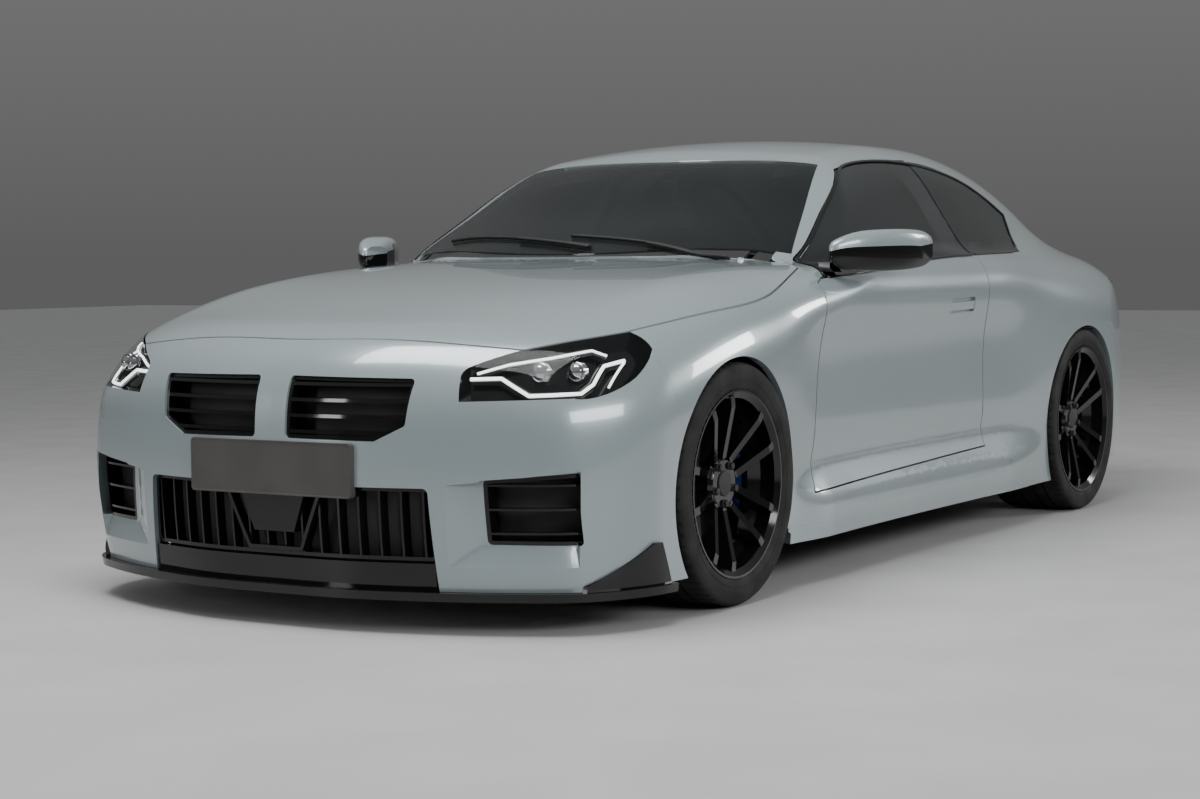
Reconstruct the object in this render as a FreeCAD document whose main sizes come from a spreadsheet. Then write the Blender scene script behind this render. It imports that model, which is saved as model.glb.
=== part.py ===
import FreeCAD
import Part
import Sketcher
import math
import os

# A two-door coupe, built in millimetres: nose to +X, left side to +Y, ground at Z = 0

doc = FreeCAD.newDocument("coupe")
sheet = doc.addObject("Spreadsheet::Sheet", "sizes")
Vector = FreeCAD.Vector
sheet_names = []


# A number that remembers how it was worked out from the sheet
class Size(float):
    def __new__(cls, value, text):
        made = float.__new__(cls, value)
        made.text = text
        return made

    def __add__(self, other):
        return Size(float(self) + float(other), f"({self.text} + {text_of(other)})")

    def __radd__(self, other):
        return Size(float(other) + float(self), f"({text_of(other)} + {self.text})")

    def __sub__(self, other):
        return Size(float(self) - float(other), f"({self.text} - {text_of(other)})")

    def __rsub__(self, other):
        return Size(float(other) - float(self), f"({text_of(other)} - {self.text})")

    def __mul__(self, other):
        return Size(float(self) * float(other), f"({self.text} * {text_of(other)})")

    def __rmul__(self, other):
        return Size(float(other) * float(self), f"({text_of(other)} * {self.text})")

    def __truediv__(self, other):
        return Size(float(self) / float(other), f"({self.text} / {text_of(other)})")

    def __neg__(self):
        return Size(-float(self), f"(-{self.text})")


def text_of(number):
    return getattr(number, "text", repr(float(number)))


# Put one driving size in the sheet
def size(name, value):
    sheet_names.append(name)
    row = len(sheet_names)
    sheet.set(f"A{row}", name)
    sheet.set(f"B{row}", str(value))
    sheet.setAlias(f"B{row}", name)
    return Size(value, f"sizes.{name}")


# Bind a property to the sheet
def bind(item, name, number):
    setattr(item, name, float(number))
    if hasattr(number, "text"):
        item.setExpression(name, number.text)


# Overall sizes of the body
half_length = size("half_length", 2300.0)
half_width = size("half_width", 943.0)
roof_height = size("roof_height", 1370.0)
front_overhang = size("front_overhang", 876.0)
wheelbase = size("wheelbase", 2747.0)
ride_height = size("ride_height", 130.0)

# Wheels, tyres and brakes
front_tyre_radius = size("front_tyre_radius", 337.5)
rear_tyre_radius = size("rear_tyre_radius", 339.5)
front_tyre_width = size("front_tyre_width", 275.0)
rear_tyre_width = size("rear_tyre_width", 285.0)
front_rim_radius = size("front_rim_radius", 258.8)
rear_rim_radius = size("rear_rim_radius", 271.5)
front_tyre_face = size("front_tyre_face", 933.0)
rear_tyre_face = size("rear_tyre_face", 936.0)
tyre_wall = size("tyre_wall", 18.0)
rim_inset = size("rim_inset", 6.0)
rim_wall = size("rim_wall", 9.0)
rim_lip = size("rim_lip", 14.0)
rim_well = size("rim_well", 26.0)
flange_width = size("flange_width", 8.0)
bead_seat = size("bead_seat", 40.0)
well_slope = size("well_slope", 28.0)
hub_radius = size("hub_radius", 76.0)
hub_bore = size("hub_bore", 33.0)
hub_depth = size("hub_depth", 48.0)
hub_sink = size("hub_sink", 46.0)
hub_round = size("hub_round", 12.0)
spoke_width = size("spoke_width", 21.0)
spoke_gap = size("spoke_gap", 30.0)
spoke_tip_gap = size("spoke_tip_gap", 92.0)
spoke_depth = size("spoke_depth", 44.0)
bell_depth = size("bell_depth", 30.0)
disc_thickness = size("disc_thickness", 34.0)
front_disc_radius = size("front_disc_radius", 187.0)
rear_disc_radius = size("rear_disc_radius", 180.0)
caliper_inset = size("caliper_inset", 62.0)
caliper_grip = size("caliper_grip", 26.0)
caliper_rise = size("caliper_rise", 14.0)
caliper_pad = size("caliper_pad", 70.0)
caliper_half = size("caliper_half", 95.0)

# Steering and suspension
kingpin_inset = size("kingpin_inset", 72.0)
kingpin_radius = size("kingpin_radius", 14.0)
steering_clearance = size("steering_clearance", 396.0)
arch_radius = size("arch_radius", 350.0)
steering_shoulder = size("steering_shoulder", 510.0)
arch_lip = size("arch_lip", 24.0)
well_clearance = size("well_clearance", 46.0)
liner_gap = size("liner_gap", 8.0)
liner_thickness = size("liner_thickness", 4.0)
arm_thickness = size("arm_thickness", 26.0)
arm_spread = size("arm_spread", 150.0)
strut_radius = size("strut_radius", 32.0)
ball_rise = size("ball_rise", 105.0)
ball_radius = size("ball_radius", 24.0)
bracket_reach = size("bracket_reach", 120.0)
bracket_half = size("bracket_half", 40.0)

# Panels, walls and gaps
skin_thickness = size("skin_thickness", 22.0)
side_thickness = size("side_thickness", 60.0)
roof_thickness = size("roof_thickness", 26.0)
bonnet_thickness = size("bonnet_thickness", 28.0)
bumper_thickness = size("bumper_thickness", 26.0)
door_thickness = size("door_thickness", 105.0)
door_skin = size("door_skin", 22.0)
door_flange = size("door_flange", 25.0)
fender_edge = size("fender_edge", 4.5)
bonnet_skin = size("bonnet_skin", 6.0)
bonnet_flange = size("bonnet_flange", 20.0)
flange_thickness = size("flange_thickness", 12.0)
floor_thickness = size("floor_thickness", 30.0)
glass_thickness = size("glass_thickness", 5.0)
glass_inset = size("glass_inset", 1.0)
shut_gap = size("shut_gap", 5.0)
seat_gap = size("seat_gap", 0.3)
overrun = size("overrun", 60.0)

# Nose, tail and exhaust
splitter_reach = size("splitter_reach", 24.0)
splitter_depth = size("splitter_depth", 150.0)
winglet_thickness = size("winglet_thickness", 10.0)
lip_inset = size("lip_inset", 6.0)
recess_depth = size("recess_depth", 26.0)
plate_recess = size("plate_recess", 12.0)
grille_inset = size("grille_inset", 8.0)
grille_depth = size("grille_depth", 40.0)
grille_frame = size("grille_frame", 10.0)
kidney_bar = size("kidney_bar", 9.0)
fin_thickness = size("fin_thickness", 6.0)
pipe_radius = size("pipe_radius", 50.0)
pipe_wall = size("pipe_wall", 5.0)
hanger_radius = size("hanger_radius", 8.0)
silencer_corner = size("silencer_corner", 40.0)
engine_corner = size("engine_corner", 20.0)
foot_half = size("foot_half", 40.0)
kidney_bars = 4
intake_bars = 3
mouth_fins = 16

# Hinges, handle, mirror and fuel flap
hinge_set = size("hinge_set", 40.0)
hinge_sweep = size("hinge_sweep", 202.0)
hinge_pin = size("hinge_pin", 7.0)
barrel_radius = size("barrel_radius", 14.0)
barrel_half = size("barrel_half", 20.0)
barrel_wall = size("barrel_wall", 5.0)
lid_pin = size("lid_pin", 5.0)
lid_hinge_depth = size("lid_hinge_depth", 17.0)
lug_reach = size("lug_reach", 30.0)
hinge_slot = size("hinge_slot", 26.0)
arm_wall = size("arm_wall", 6.0)
arm_reach = size("arm_reach", 125.0)
arm_rise = size("arm_rise", 40.0)
handle_depth = size("handle_depth", 12.0)
handle_thickness = size("handle_thickness", 8.0)
mirror_corner = size("mirror_corner", 14.0)
flap_radius = size("flap_radius", 80.0)
flap_thickness = size("flap_thickness", 6.0)
flap_edge = size("flap_edge", 4.0)
flap_eye = size("flap_eye", 13.0)
flap_pin = size("flap_pin", 1.5)
flap_pocket_depth = size("flap_pocket_depth", 30.0)

# Cabin
cushion_corner = size("cushion_corner", 40.0)
seat_width = size("seat_width", 470.0)
dash_corner = size("dash_corner", 30.0)
wheel_ring_radius = size("wheel_ring_radius", 178.0)
wheel_ring_grip = size("wheel_ring_grip", 15.0)
wheel_leg_radius = size("wheel_leg_radius", 11.0)
boss_radius = size("boss_radius", 60.0)
boss_depth = size("boss_depth", 38.0)
column_radius = size("column_radius", 26.0)
pod_depth = size("pod_depth", 40.0)
cowl_depth = size("cowl_depth", 8.0)
drain_depth = size("drain_depth", 37.0)
drain_wall = size("drain_wall", 5.0)
seat_lean_angle = 18.0

# Places of the inner pieces: limits along, across and up, as shares of half_length, half_width and roof_height
bumper_limit_shares = (0.70, 1.1, -1.25, 1.25, 0.081, 0.58)
blade_shares = (0.77, 1.1, -1.25, 1.25, 0.064, 0.0805)
lip_shares = (0.77, 1.1, -0.497, 0.497, 0.0795, 0.133)
rear_bumper_shares = (-1.1, -0.70, -1.25, 1.25, 0.125, 0.6285)
diffuser_hole_shares = (-1.1, -0.70, -0.56, 0.56, 0.12, 0.23)
silencer_shares = (-0.88, -0.78, -0.55, 0.55, 0.13, 0.26)
floor_end_shares = (0.43, -0.415, -0.46)
floor_width_shares = (0.60, 0.84)
tunnel_shares = (0.14, 0.22)
bulkhead_share = 0.63
sill_share = 0.185
boot_floor_shares = (-0.90, -0.4665, -0.60, 0.60, 0.37, 0.392)
shelf_shares = (-0.775, -0.4665, -0.60, 0.60, 0.66, 0.671)
nose_beam_shares = (0.80, 0.82, -0.55, 0.55, 0.15, 0.50)
rail_shares = (0.4235, 0.81, 0.34, 0.40, 0.20, 0.30)
post_shares = (0.29, 0.43, 0.60, 0.67, 0.115, 0.62)
engine_shares = (0.45, 0.70, -0.25, 0.25, 0.18, 0.57)
tower_shares = (0.545, 0.680, 0.4003, 0.42, 0.10, 0.50)
dash_front_shares = (0.24, 0.288, -0.70, 0.70, 0.44, 0.64)
dash_back_shares = (0.28, 0.40, -0.598, 0.598, 0.42, 0.655)
console_shares = (-0.18, 0.30, -0.11, 0.11, 0.2203, 0.42)
pod_shares = (0.125, 0.185, -0.06, 0.06, 0.75, 1.0)
inner_mirror_shares = (0.128, 0.146, -0.135, 0.135, 0.835, 0.885)
rear_bench_shares = ((-0.435, -0.24, -0.62, 0.62, 0.222, 0.31), (-0.457, -0.40, -0.62, 0.62, 0.27, 0.655))
mirror_stalk_shares = (0.287, 0.312, 0.876, 0.93, 0.664, 0.685)

# Other places, as shares of the same sizes in the order each maker names them
lamp_back_share = 0.765
tail_lamp_share = -0.863
lid_foot_share = 0.5187
door_top_share = 0.70
grille_back_share = 0.8
liner_foot_share = 0.16
arm_root_share = 0.415
axle_root_share = 0.25
strut_shares = (0.60, 0.58, 0.56, 0.7)
rear_arm_shares = (0.735, 0.42, 0.080)
column_shares = (0.195, 0.40, 0.565, 0.26)
front_seat_shares = ((-0.08, 0.145, 0.17, 0.29), (-0.135, -0.07, 0.20, 0.68), (-0.225, -0.185, 0.62, 0.80))
seat_taper_shares = (1.0, 0.96, 0.50)
seat_middle_share = 0.405
seat_pivot_shares = (-0.10, 0.25)
bonnet_hinge_shares = (0.296, 0.668, 0.64)
lid_hinge_shares = (-0.7625, 0.35)
flap_shares = (-0.655, 0.590)
pipe_shares = {"across": (0.350, 0.4825), "height": 0.19, "end": -0.985, "fin": 0.13, "hanger": 0.32}
mirror_section_shares = ((0.915, 0.258, 0.316, 0.672, 0.738), (0.965, 0.215, 0.290, 0.664, 0.754),
                         (1.030, 0.168, 0.236, 0.666, 0.757), (1.090, 0.143, 0.186, 0.685, 0.744))
spoke_end_shares = (0.98, 0.958)
tip_wall_share = 0.4


# A smooth curve through a table of shares
def spline(table):
    last = len(table) - 1
    at = [row[0] for row in table]
    held = [row[1] for row in table]
    diagonal = [1.0] * (last + 1)
    right = [0.0] * (last + 1)
    bend = [0.0] * (last + 1)
    for i in range(1, last):
        before = at[i] - at[i - 1]
        after = at[i + 1] - at[i]
        slope_change = (held[i + 1] - held[i]) / after - (held[i] - held[i - 1]) / before
        factor = before / diagonal[i - 1]
        diagonal[i] = 2 * (before + after) - factor * right[i - 1]
        right[i] = after
        bend[i] = 6 * slope_change - factor * bend[i - 1]
    bend[last] = 0.0
    for i in range(last - 1, 0, -1):
        bend[i] = (bend[i] - right[i] * bend[i + 1]) / diagonal[i]
    bend[0] = 0.0

    def value(place):
        place = min(max(place, at[0]), at[last])
        i = 0
        while i < last - 1 and place > at[i + 1]:
            i += 1
        step = at[i + 1] - at[i]
        before = (at[i + 1] - place) / step
        after = (place - at[i]) / step
        bow = (before ** 3 - before) * bend[i] + (after ** 3 - after) * bend[i + 1]
        return before * held[i] + after * held[i + 1] + bow * step * step / 6

    return value


# Shares of half_length, half_width and roof_height that shape the body
plan_shares = spline([(-1.05, 0.915), (-1.0, 0.930), (-0.87, 0.968), (-0.74, 0.990), (-0.575, 1.0),
                      (-0.39, 0.976), (-0.217, 0.954), (0.0, 0.947), (0.217, 0.951), (0.435, 0.972),
                      (0.619, 1.0), (0.783, 0.988), (0.90, 0.965), (1.05, 0.940)])
door_shares = spline([(0.05, 0.004), (0.096, 0.018), (0.150, 0.030), (0.195, 0.020), (0.225, -0.002),
                      (0.30, -0.009), (0.41, -0.0115), (0.54, -0.004), (0.62, 0.006), (0.657, -0.010),
                      (0.693, -0.048), (0.76, -0.13), (0.90, -0.32)])
wing_shares = spline([(0.05, -0.030), (0.10, -0.022), (0.20, -0.012), (0.35, -0.004), (0.50, 0.0),
                      (0.56, -0.002), (0.62, -0.012), (0.70, -0.05), (0.90, -0.25)])
top_shares = spline([(-1.05, 0.716), (-0.957, 0.720), (-0.87, 0.725), (-0.765, 0.733), (-0.609, 0.722),
                     (-0.435, 0.719), (0.0, 0.719), (0.217, 0.712), (0.378, 0.699), (0.435, 0.6905),
                     (0.522, 0.675), (0.652, 0.648), (0.739, 0.626), (0.826, 0.600), (0.913, 0.5715),
                     (0.961, 0.553), (1.0, 0.5365), (1.05, 0.515)])
fall_shares = spline([(-1.05, 0.120), (-0.957, 0.108), (-0.888, 0.070), (-0.748, 0.030), (-0.609, 0.014),
                      (-0.30, 0.004), (0.0, 0.004), (0.30, 0.018), (0.42, 0.012), (0.652, 0.006),
                      (0.826, 0.026), (0.92, 0.036), (1.05, 0.050)])
shoulder_shares = spline([(-1.05, 0.20), (-0.75, 0.22), (-0.57, 0.22), (-0.25, 0.08), (0.25, 0.07),
                          (0.40, 0.18), (0.55, 0.27), (0.80, 0.26), (1.05, 0.20)])
nose_shares = spline([(0.0, 0.9985), (0.265, 0.994), (0.44, 0.978), (0.624, 0.955), (0.742, 0.935),
                      (0.87, 0.905), (0.95, 0.87), (1.06, 0.80)])
nose_lean_shares = spline([(0.05, 0.012), (0.146, 0.005), (0.29, 0.0), (0.365, 0.001), (0.44, 0.006),
                           (0.482, 0.014), (0.525, 0.024), (0.555, 0.036), (0.60, 0.075), (0.70, 0.20)])
tail_shares = spline([(0.0, -1.0), (0.32, -0.997), (0.55, -0.989), (0.68, -0.974), (0.795, -0.935),
                      (0.90, -0.865), (0.96, -0.80), (1.06, -0.65)])
tail_lean_shares = spline([(0.05, 0.045), (0.146, 0.025), (0.22, 0.006), (0.30, 0.0), (0.44, 0.0),
                           (0.51, 0.008), (0.62, 0.020), (0.70, 0.018), (0.80, 0.018)])
roof_shares = spline([(-1.0, 0.20), (-0.90, 0.44), (-0.82, 0.620), (-0.765, 0.722), (-0.70, 0.808), (-0.61, 0.890), (-0.522, 0.9425),
                      (-0.435, 0.9725), (-0.30, 0.994), (-0.22, 0.997), (-0.152, 0.9965), (-0.087, 0.9905),
                      (0.0, 0.974), (0.087, 0.947), (0.174, 0.910), (0.30, 0.840)])
screen_shares = spline([(0.60, 0.455), (0.70, 0.385), (0.80, 0.260), (0.90, 0.140), (0.93, 0.100), (1.0, 0.010)])
cabin_shares = spline([(-0.80, -0.22), (-0.652, -0.125), (-0.512, -0.072), (-0.443, -0.052), (-0.26, -0.015),
                       (-0.10, -0.010), (0.06, -0.010), (0.174, -0.014), (0.33, -0.048), (0.50, -0.11)])
blend_shares = spline([(-0.85, 0.08), (-0.72, 0.10), (-0.55, 0.10), (-0.40, 0.04), (-0.20, 0.025),
                       (0.20, 0.025), (0.42, 0.020)])
door_zone_shares = (-0.46, -0.24, 0.36, 0.50)
fall_reach_share = 0.72
nose_plan_share = 1.6
roof_crown_share = 0.085
screen_bow_shares = (0.064, 0.21)
belt_shares = (0.8855, 0.691)
cabin_lean_share = 0.64
cabin_foot_share = 0.62
corner_shares = {"nose": 0.14, "tail": 0.12, "rail": 0.13, "screen": 0.05, "foot": 0.04}


def ease(place):
    place = min(max(place, 0.0), 1.0)
    return place * place * (3 - 2 * place)


# The larger of two numbers, rounded where they cross
def rounded_max(first, second, reach):
    near = max(reach - abs(first - second), 0.0) / reach
    return max(first, second) + near * near * reach / 4


LONG = float(half_length)
WIDE = float(half_width)
HIGH = float(roof_height)
UP = Vector(0, 0, 1)
SIDE = Vector(0, 1, 0)


def side_at(x, z):
    along = x / LONG
    start, full, fade, end = door_zone_shares
    doors = ease((along - start) / (full - start)) * ease((end - along) / (end - fade))
    section = doors * door_shares(z / HIGH) + (1 - doors) * wing_shares(z / HIGH)
    return WIDE * (plan_shares(along) + section)


def top_at(x, y):
    along = x / LONG
    return HIGH * (top_shares(along) - fall_shares(along) * (y / WIDE / fall_reach_share) ** 3)


def nose_at(y, z):
    across = y / WIDE
    return LONG * (nose_shares(across) - nose_lean_shares(z / HIGH) * (1 + nose_plan_share * across ** 4))


def tail_at(y, z):
    return LONG * (tail_shares(y / WIDE) + tail_lean_shares(z / HIGH))


def cabin_side_at(x, z):
    return WIDE * (belt_shares[0] + cabin_shares(x / LONG)) - cabin_lean_share * (z - belt_shares[1] * HIGH)


def roof_at(x, y):
    return HIGH * (roof_shares(x / LONG) - roof_crown_share * (y / WIDE) ** 2)


def screen_at(y, z):
    across = (y / WIDE) ** 2
    return LONG * (screen_shares(z / HIGH) - screen_bow_shares[0] * across - screen_bow_shares[1] * across * across)


# Below zero inside the body's skin, zero on it
def body(x, y, z):
    y = abs(y)
    low = rounded_max(y - side_at(x, z), z - top_at(x, y), WIDE * shoulder_shares(x / LONG))
    low = rounded_max(low, x - nose_at(y, z), WIDE * corner_shares["nose"])
    low = rounded_max(low, tail_at(y, z) - x, WIDE * corner_shares["tail"])
    high = rounded_max(y - cabin_side_at(x, z), z - roof_at(x, y), WIDE * corner_shares["rail"])
    high = rounded_max(high, x - screen_at(y, z), WIDE * corner_shares["screen"])
    high = rounded_max(high, cabin_foot_share * HIGH - z, WIDE * corner_shares["foot"])
    return -rounded_max(-low, -high, WIDE * blend_shares(x / LONG))


# Distance along a ray at which it leaves the body
halvings = 20
ray_share = 1.4
ray_foot_share = 0.3


def leave(start, way):
    near = 0.0
    far = LONG * ray_share
    for _ in range(halvings):
        middle = (near + far) / 2
        if body(start[0] + way[0] * middle, start[1] + way[1] * middle, start[2] + way[2] * middle) < 0:
            near = middle
        else:
            far = middle
    return (near + far) / 2


# Height of the skin above a point of the floor plan
def height_at(x, y):
    start = HIGH * ray_foot_share
    return start + leave((x, y, start), (0, 0, 1))


# Width of the skin at a point of the side view
def width_at(x, z):
    return leave((x, 0.0, z), (0, 1, 0))


# A fan of rays: axis they run along, plane they start on, plane they are aimed at, centre, pull to it
def fan(axis, start, aim, centre, pull, us, vs):
    others = [i for i in (0, 1, 2) if i != axis]
    rays = []
    for u in us:
        row = []
        for v in vs:
            foot = [0.0, 0.0, 0.0]
            head = [0.0, 0.0, 0.0]
            foot[axis] = float(start)
            head[axis] = float(aim)
            for i, place, c, p in zip(others, (u, v), centre, pull):
                foot[i] = float(c) + p * (place - float(c))
                head[i] = float(place)
            way = [h - f for h, f in zip(head, foot)]
            length = math.sqrt(sum(w * w for w in way))
            way = [w / length for w in way]
            reach = leave(foot, way)
            row.append((foot, way, reach))
        rays.append(row)
    return rays


# Points on a fan of rays at a depth below the skin, or at one that varies over it
def points_at(rays, depth):
    grid = []
    for row in rays:
        points = []
        for foot, way, reach in row:
            skin = Vector(*[f + w * reach for f, w in zip(foot, way)])
            down = depth(skin) if callable(depth) else float(depth)
            points.append(skin - Vector(*way) * down)
        grid.append(points)
    return grid


# Poles of the natural cubic spline through evenly spaced points
def spline_poles(points):
    last = len(points) - 1
    bends = [Vector(0, 0, 0)]
    weights = [0.0]
    for i in range(1, last):
        pivot = 4.0 - weights[i - 1]
        kink = (points[i + 1] - points[i] * 2 + points[i - 1]) * 6
        weights.append(1.0 / pivot)
        bends.append((kink - bends[i - 1]) * (1.0 / pivot))
    bends.append(Vector(0, 0, 0))
    for i in range(last - 1, 0, -1):
        bends[i] = bends[i] - bends[i + 1] * weights[i]
    first_slope = points[1] - points[0] - bends[1] * (1 / 6)
    last_slope = points[last] - points[last - 1] + bends[last - 1] * (1 / 6)
    inner = [points[i] - bends[i] * (1 / 6) for i in range(1, last)]
    return [points[0], points[0] + first_slope * (1 / 3)] + inner + [points[last] - last_slope * (1 / 3), points[last]]


# Smooth surface through a grid of points
def smooth_surface(grid):
    rows = [spline_poles(row) for row in grid]
    columns = [spline_poles(list(column)) for column in zip(*rows)]
    poles = [list(row) for row in zip(*columns)]
    ends = [len(grid), len(grid[0])]
    knots = [[float(i) for i in range(count)] for count in ends]
    repeats = [[4] + [1] * (count - 2) + [4] for count in ends]
    surface = Part.BSplineSurface()
    surface.buildFromPolesMultsKnots(poles, repeats[0], repeats[1], knots[0], knots[1], False, False, 3, 3)
    return surface


# Solid between two depths of one fan of rays
def slab(rays, outer_depth, inner_depth):
    surfaces = [smooth_surface(points_at(rays, depth)) for depth in (outer_depth, inner_depth)]
    faces = [surface.toShape() for surface in surfaces]
    first, second = surfaces
    low_u, high_u, low_v, high_v = first.bounds()
    for place in (low_u, high_u):
        faces.append(Part.makeRuledSurface(first.uIso(place).toShape(), second.uIso(place).toShape()))
    for place in (low_v, high_v):
        faces.append(Part.makeRuledSurface(first.vIso(place).toShape(), second.vIso(place).toShape()))
    shell = Part.makeShell(faces)
    shell.sewShape()
    made = Part.makeSolid(shell)
    if made.Volume < 0:
        made.reverse()
    return made


def steps(low, high, count):
    return [float(low) + (float(high) - float(low)) * i / (count - 1) for i in range(count)]


# Places on the aimed plane for evenly spaced angles, in degrees
def fanned(centre, reach, low_angle, high_angle, count):
    return [float(centre) + float(reach) * math.tan(math.radians(a)) for a in steps(low_angle, high_angle, count)]


# Places along the car that the pieces share
front_axle_x = half_length - front_overhang
rear_axle_x = front_axle_x - wheelbase
front_hub_y = front_tyre_face - front_tyre_width / 2
rear_hub_y = rear_tyre_face - rear_tyre_width / 2
kingpin_y = front_hub_y - kingpin_inset
hub_heights = {"front": front_tyre_radius, "rear": rear_tyre_radius}
axle_places = {"front": front_axle_x, "rear": rear_axle_x}
hub_places = {"front": front_hub_y, "rear": rear_hub_y}
tyre_widths = {"front": front_tyre_width, "rear": rear_tyre_width}
tyre_radii = {"front": front_tyre_radius, "rear": rear_tyre_radius}
rim_radii = {"front": front_rim_radius, "rear": rear_rim_radius}
disc_radii = {"front": front_disc_radius, "rear": rear_disc_radius}
FRONT_X = float(front_axle_x)
REAR_X = float(rear_axle_x)

# Fans of rays that the panels are made on
side_focus_shares = (0.212, 0.474)
side_aim_share = 0.954
side_angles = (-41.0, 71.0)
side_rows = 27
top_focus_share = 0.22
top_aim_share = 0.62
front_focus_share = 0.565
rear_focus_share = -0.565
wrap_angles = (-70.0, 70.0)
wrap_shares = (0.04, 0.60)
tail_wrap_shares = (0.08, 0.634)


# Rays out to the left side, between two shares of the length
def side_rays(span_shares, count):
    start = WIDE * side_focus_shares[0]
    middle = HIGH * side_focus_shares[1]
    aim = WIDE * side_aim_share
    heights = fanned(middle, aim - start, side_angles[0], side_angles[1], side_rows)
    lengths = steps(LONG * span_shares[0], LONG * span_shares[1], count)
    return fan(1, start, aim, (0.0, middle), (1.0, 0.0), lengths, heights)


# Rays up to the top of the car between two shares of the length and out to a share of the width
def top_rays(span_shares, reach_share, pull, counts, middle_share=None):
    if middle_share is None:
        middle_share = sum(span_shares) / 2
    lengths = steps(LONG * span_shares[0], LONG * span_shares[1], counts[0])
    widths = steps(-WIDE * reach_share, WIDE * reach_share, counts[1])
    centre = (LONG * middle_share, 0.0)
    return fan(2, HIGH * top_focus_share, HIGH * top_aim_share, centre, pull, lengths, widths)


# Level rays round the nose or the tail
def end_rays(focus_share, way, shares, counts):
    start = LONG * focus_share
    aim = LONG * way
    widths = fanned(0.0, abs(aim - start), wrap_angles[0], wrap_angles[1], counts[0])
    heights = steps(HIGH * shares[0], HIGH * shares[1], counts[1])
    return fan(0, start, aim, (0.0, 0.0), (0.0, 1.0), widths, heights)


# A point on one of the three main planes
def on_plane(axis, first, second, height=0.0):
    if axis == "x":
        return Vector(height, first, second)
    if axis == "y":
        return Vector(first, height, second)
    return Vector(first, second, height)


# Flat face from shares of two sizes; a third entry marks the middle of an arc
def outline(axis, shares, first, second, rounding=0.0):
    places = [on_plane(axis, row[0] * float(first), row[1] * float(second)) for row in shares]
    middles = [len(row) > 2 for row in shares]
    edges = []
    count = len(places)
    i = 0
    while i < count:
        following = places[(i + 1) % count]
        if middles[(i + 1) % count]:
            edges.append(Part.Arc(places[i], following, places[(i + 2) % count]).toShape())
            i += 2
        else:
            edges.append(Part.LineSegment(places[i], following).toShape())
            i += 1
    face = Part.Face(Part.Wire(edges))
    if rounding:
        face = face.makeOffset2D(-float(rounding)).makeOffset2D(float(rounding))
    return face


# The same outline on both sides, with arcs that cross the middle line at two places
def both_sides(half_shares, first_middle, last_middle):
    other = [(row[0], -row[1]) + tuple(row[2:]) for row in reversed(half_shares)]
    return list(half_shares) + [(last_middle, 0.0, 1)] + other + [(first_middle, 0.0, 1)]


way_of = {"x": Vector(1, 0, 0), "y": Vector(0, 1, 0), "z": Vector(0, 0, 1)}


# Run an outline through the car between two places
def run(face, axis, low, high, grow=0.0):
    if grow:
        face = face.makeOffset2D(float(grow))
    face = face.copy()
    face.translate(way_of[axis] * float(low))
    return face.extrude(way_of[axis] * (float(high) - float(low)))


def box(x0, x1, y0, y1, z0, z1):
    low = Vector(float(min(x0, x1)), float(min(y0, y1)), float(min(z0, z1)))
    return Part.makeBox(abs(float(x1 - x0)), abs(float(y1 - y0)), abs(float(z1 - z0)), low)


def soft_box(x0, x1, y0, y1, z0, z1, radius):
    made = box(x0, x1, y0, y1, z0, z1)
    return made.makeFillet(float(radius), made.Edges)


def rod(radius, start, end):
    way = end - start
    return Part.makeCylinder(float(radius), way.Length, start, way)


def mirrored(shape):
    return shape.mirror(Vector(0, 0, 0), Vector(0, 1, 0))


def both(shape):
    return Part.makeCompound([shape, mirrored(shape)])


def joined(shapes):
    return shapes[0].fuse(shapes[1:]).removeSplitter() if len(shapes) > 1 else shapes[0]


def cut_by(shape, tools):
    for tool in tools:
        shape = shape.cut(tool)
    return shape


# The largest solid of a cut, with thin leftovers dropped
def main_solid(shape):
    solids = sorted(shape.Solids, key=lambda solid: solid.Volume)
    return solids[-1]


sub_parts = {}


# Keep a shape as a sub-part with its own label
def keep(name, shape):
    feature = doc.addObject("Part::Feature", name)
    feature.Label = name
    feature.Shape = shape
    feature.Placement = FreeCAD.Placement()
    sub_parts[name] = feature


def keep_pair(name, shape):
    keep(name + "_left", shape)
    keep(name + "_right", mirrored(shape))


# How far cutting tools reach past the body, and how low those from above start, as shares
tool_shares = {"side": 1.25, "top": 1.1, "end": 1.1, "deck": 0.3}
far = WIDE * tool_shares["side"]
top_z = HIGH * tool_shares["top"]
end_x = LONG * tool_shares["end"]
deck_z = HIGH * tool_shares["deck"]

# Edges seen from the side, as shares of half_length and roof_height; a third entry marks the middle of an arc
door_edge_shares = [(0.4083, 0.1993), (0.3552, 0.6394), (0.3348, 0.6496), (-0.0439, 0.6912), (-0.1978, 0.6993),
                    (-0.1809, 0.2241)]
window_edge_shares = [(0.3304, 0.6500), (0.0583, 0.9015), (-0.06, 0.9285, 1), (-0.165, 0.9340), (-0.38, 0.893, 1),
                      (-0.5122, 0.8058), (-0.4426, 0.7051), (-0.1978, 0.6993), (-0.0439, 0.6912)]
fender_edge_shares = [(0.391, 0.1314), (0.330, 0.657), (0.300, 0.704), (0.300, 0.80), (0.80, 0.80),
                      (0.7826, 0.511), (0.754, 0.343), (0.754, 0.1314)]
flank_edge_shares = [(0.474, 0.0964), (-0.713, 0.0964), (-0.713, 0.314), (-0.826, 0.467), (-0.872, 0.533),
                     (-0.872, 0.622), (-0.972, 0.622), (-0.972, 1.06), (0.474, 1.06)]
handle_pocket_shares = [(-0.145, 0.560), (-0.058, 0.557), (-0.058, 0.592), (-0.145, 0.595)]
handle_bar_shares = [(-0.160, 0.566), (-0.050, 0.563), (-0.050, 0.583), (-0.160, 0.586)]
winglet_shares = [(0.890, 0.076), (0.890, 0.092), (0.812, 0.163), (0.800, 0.163), (0.775, 0.076)]

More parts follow.
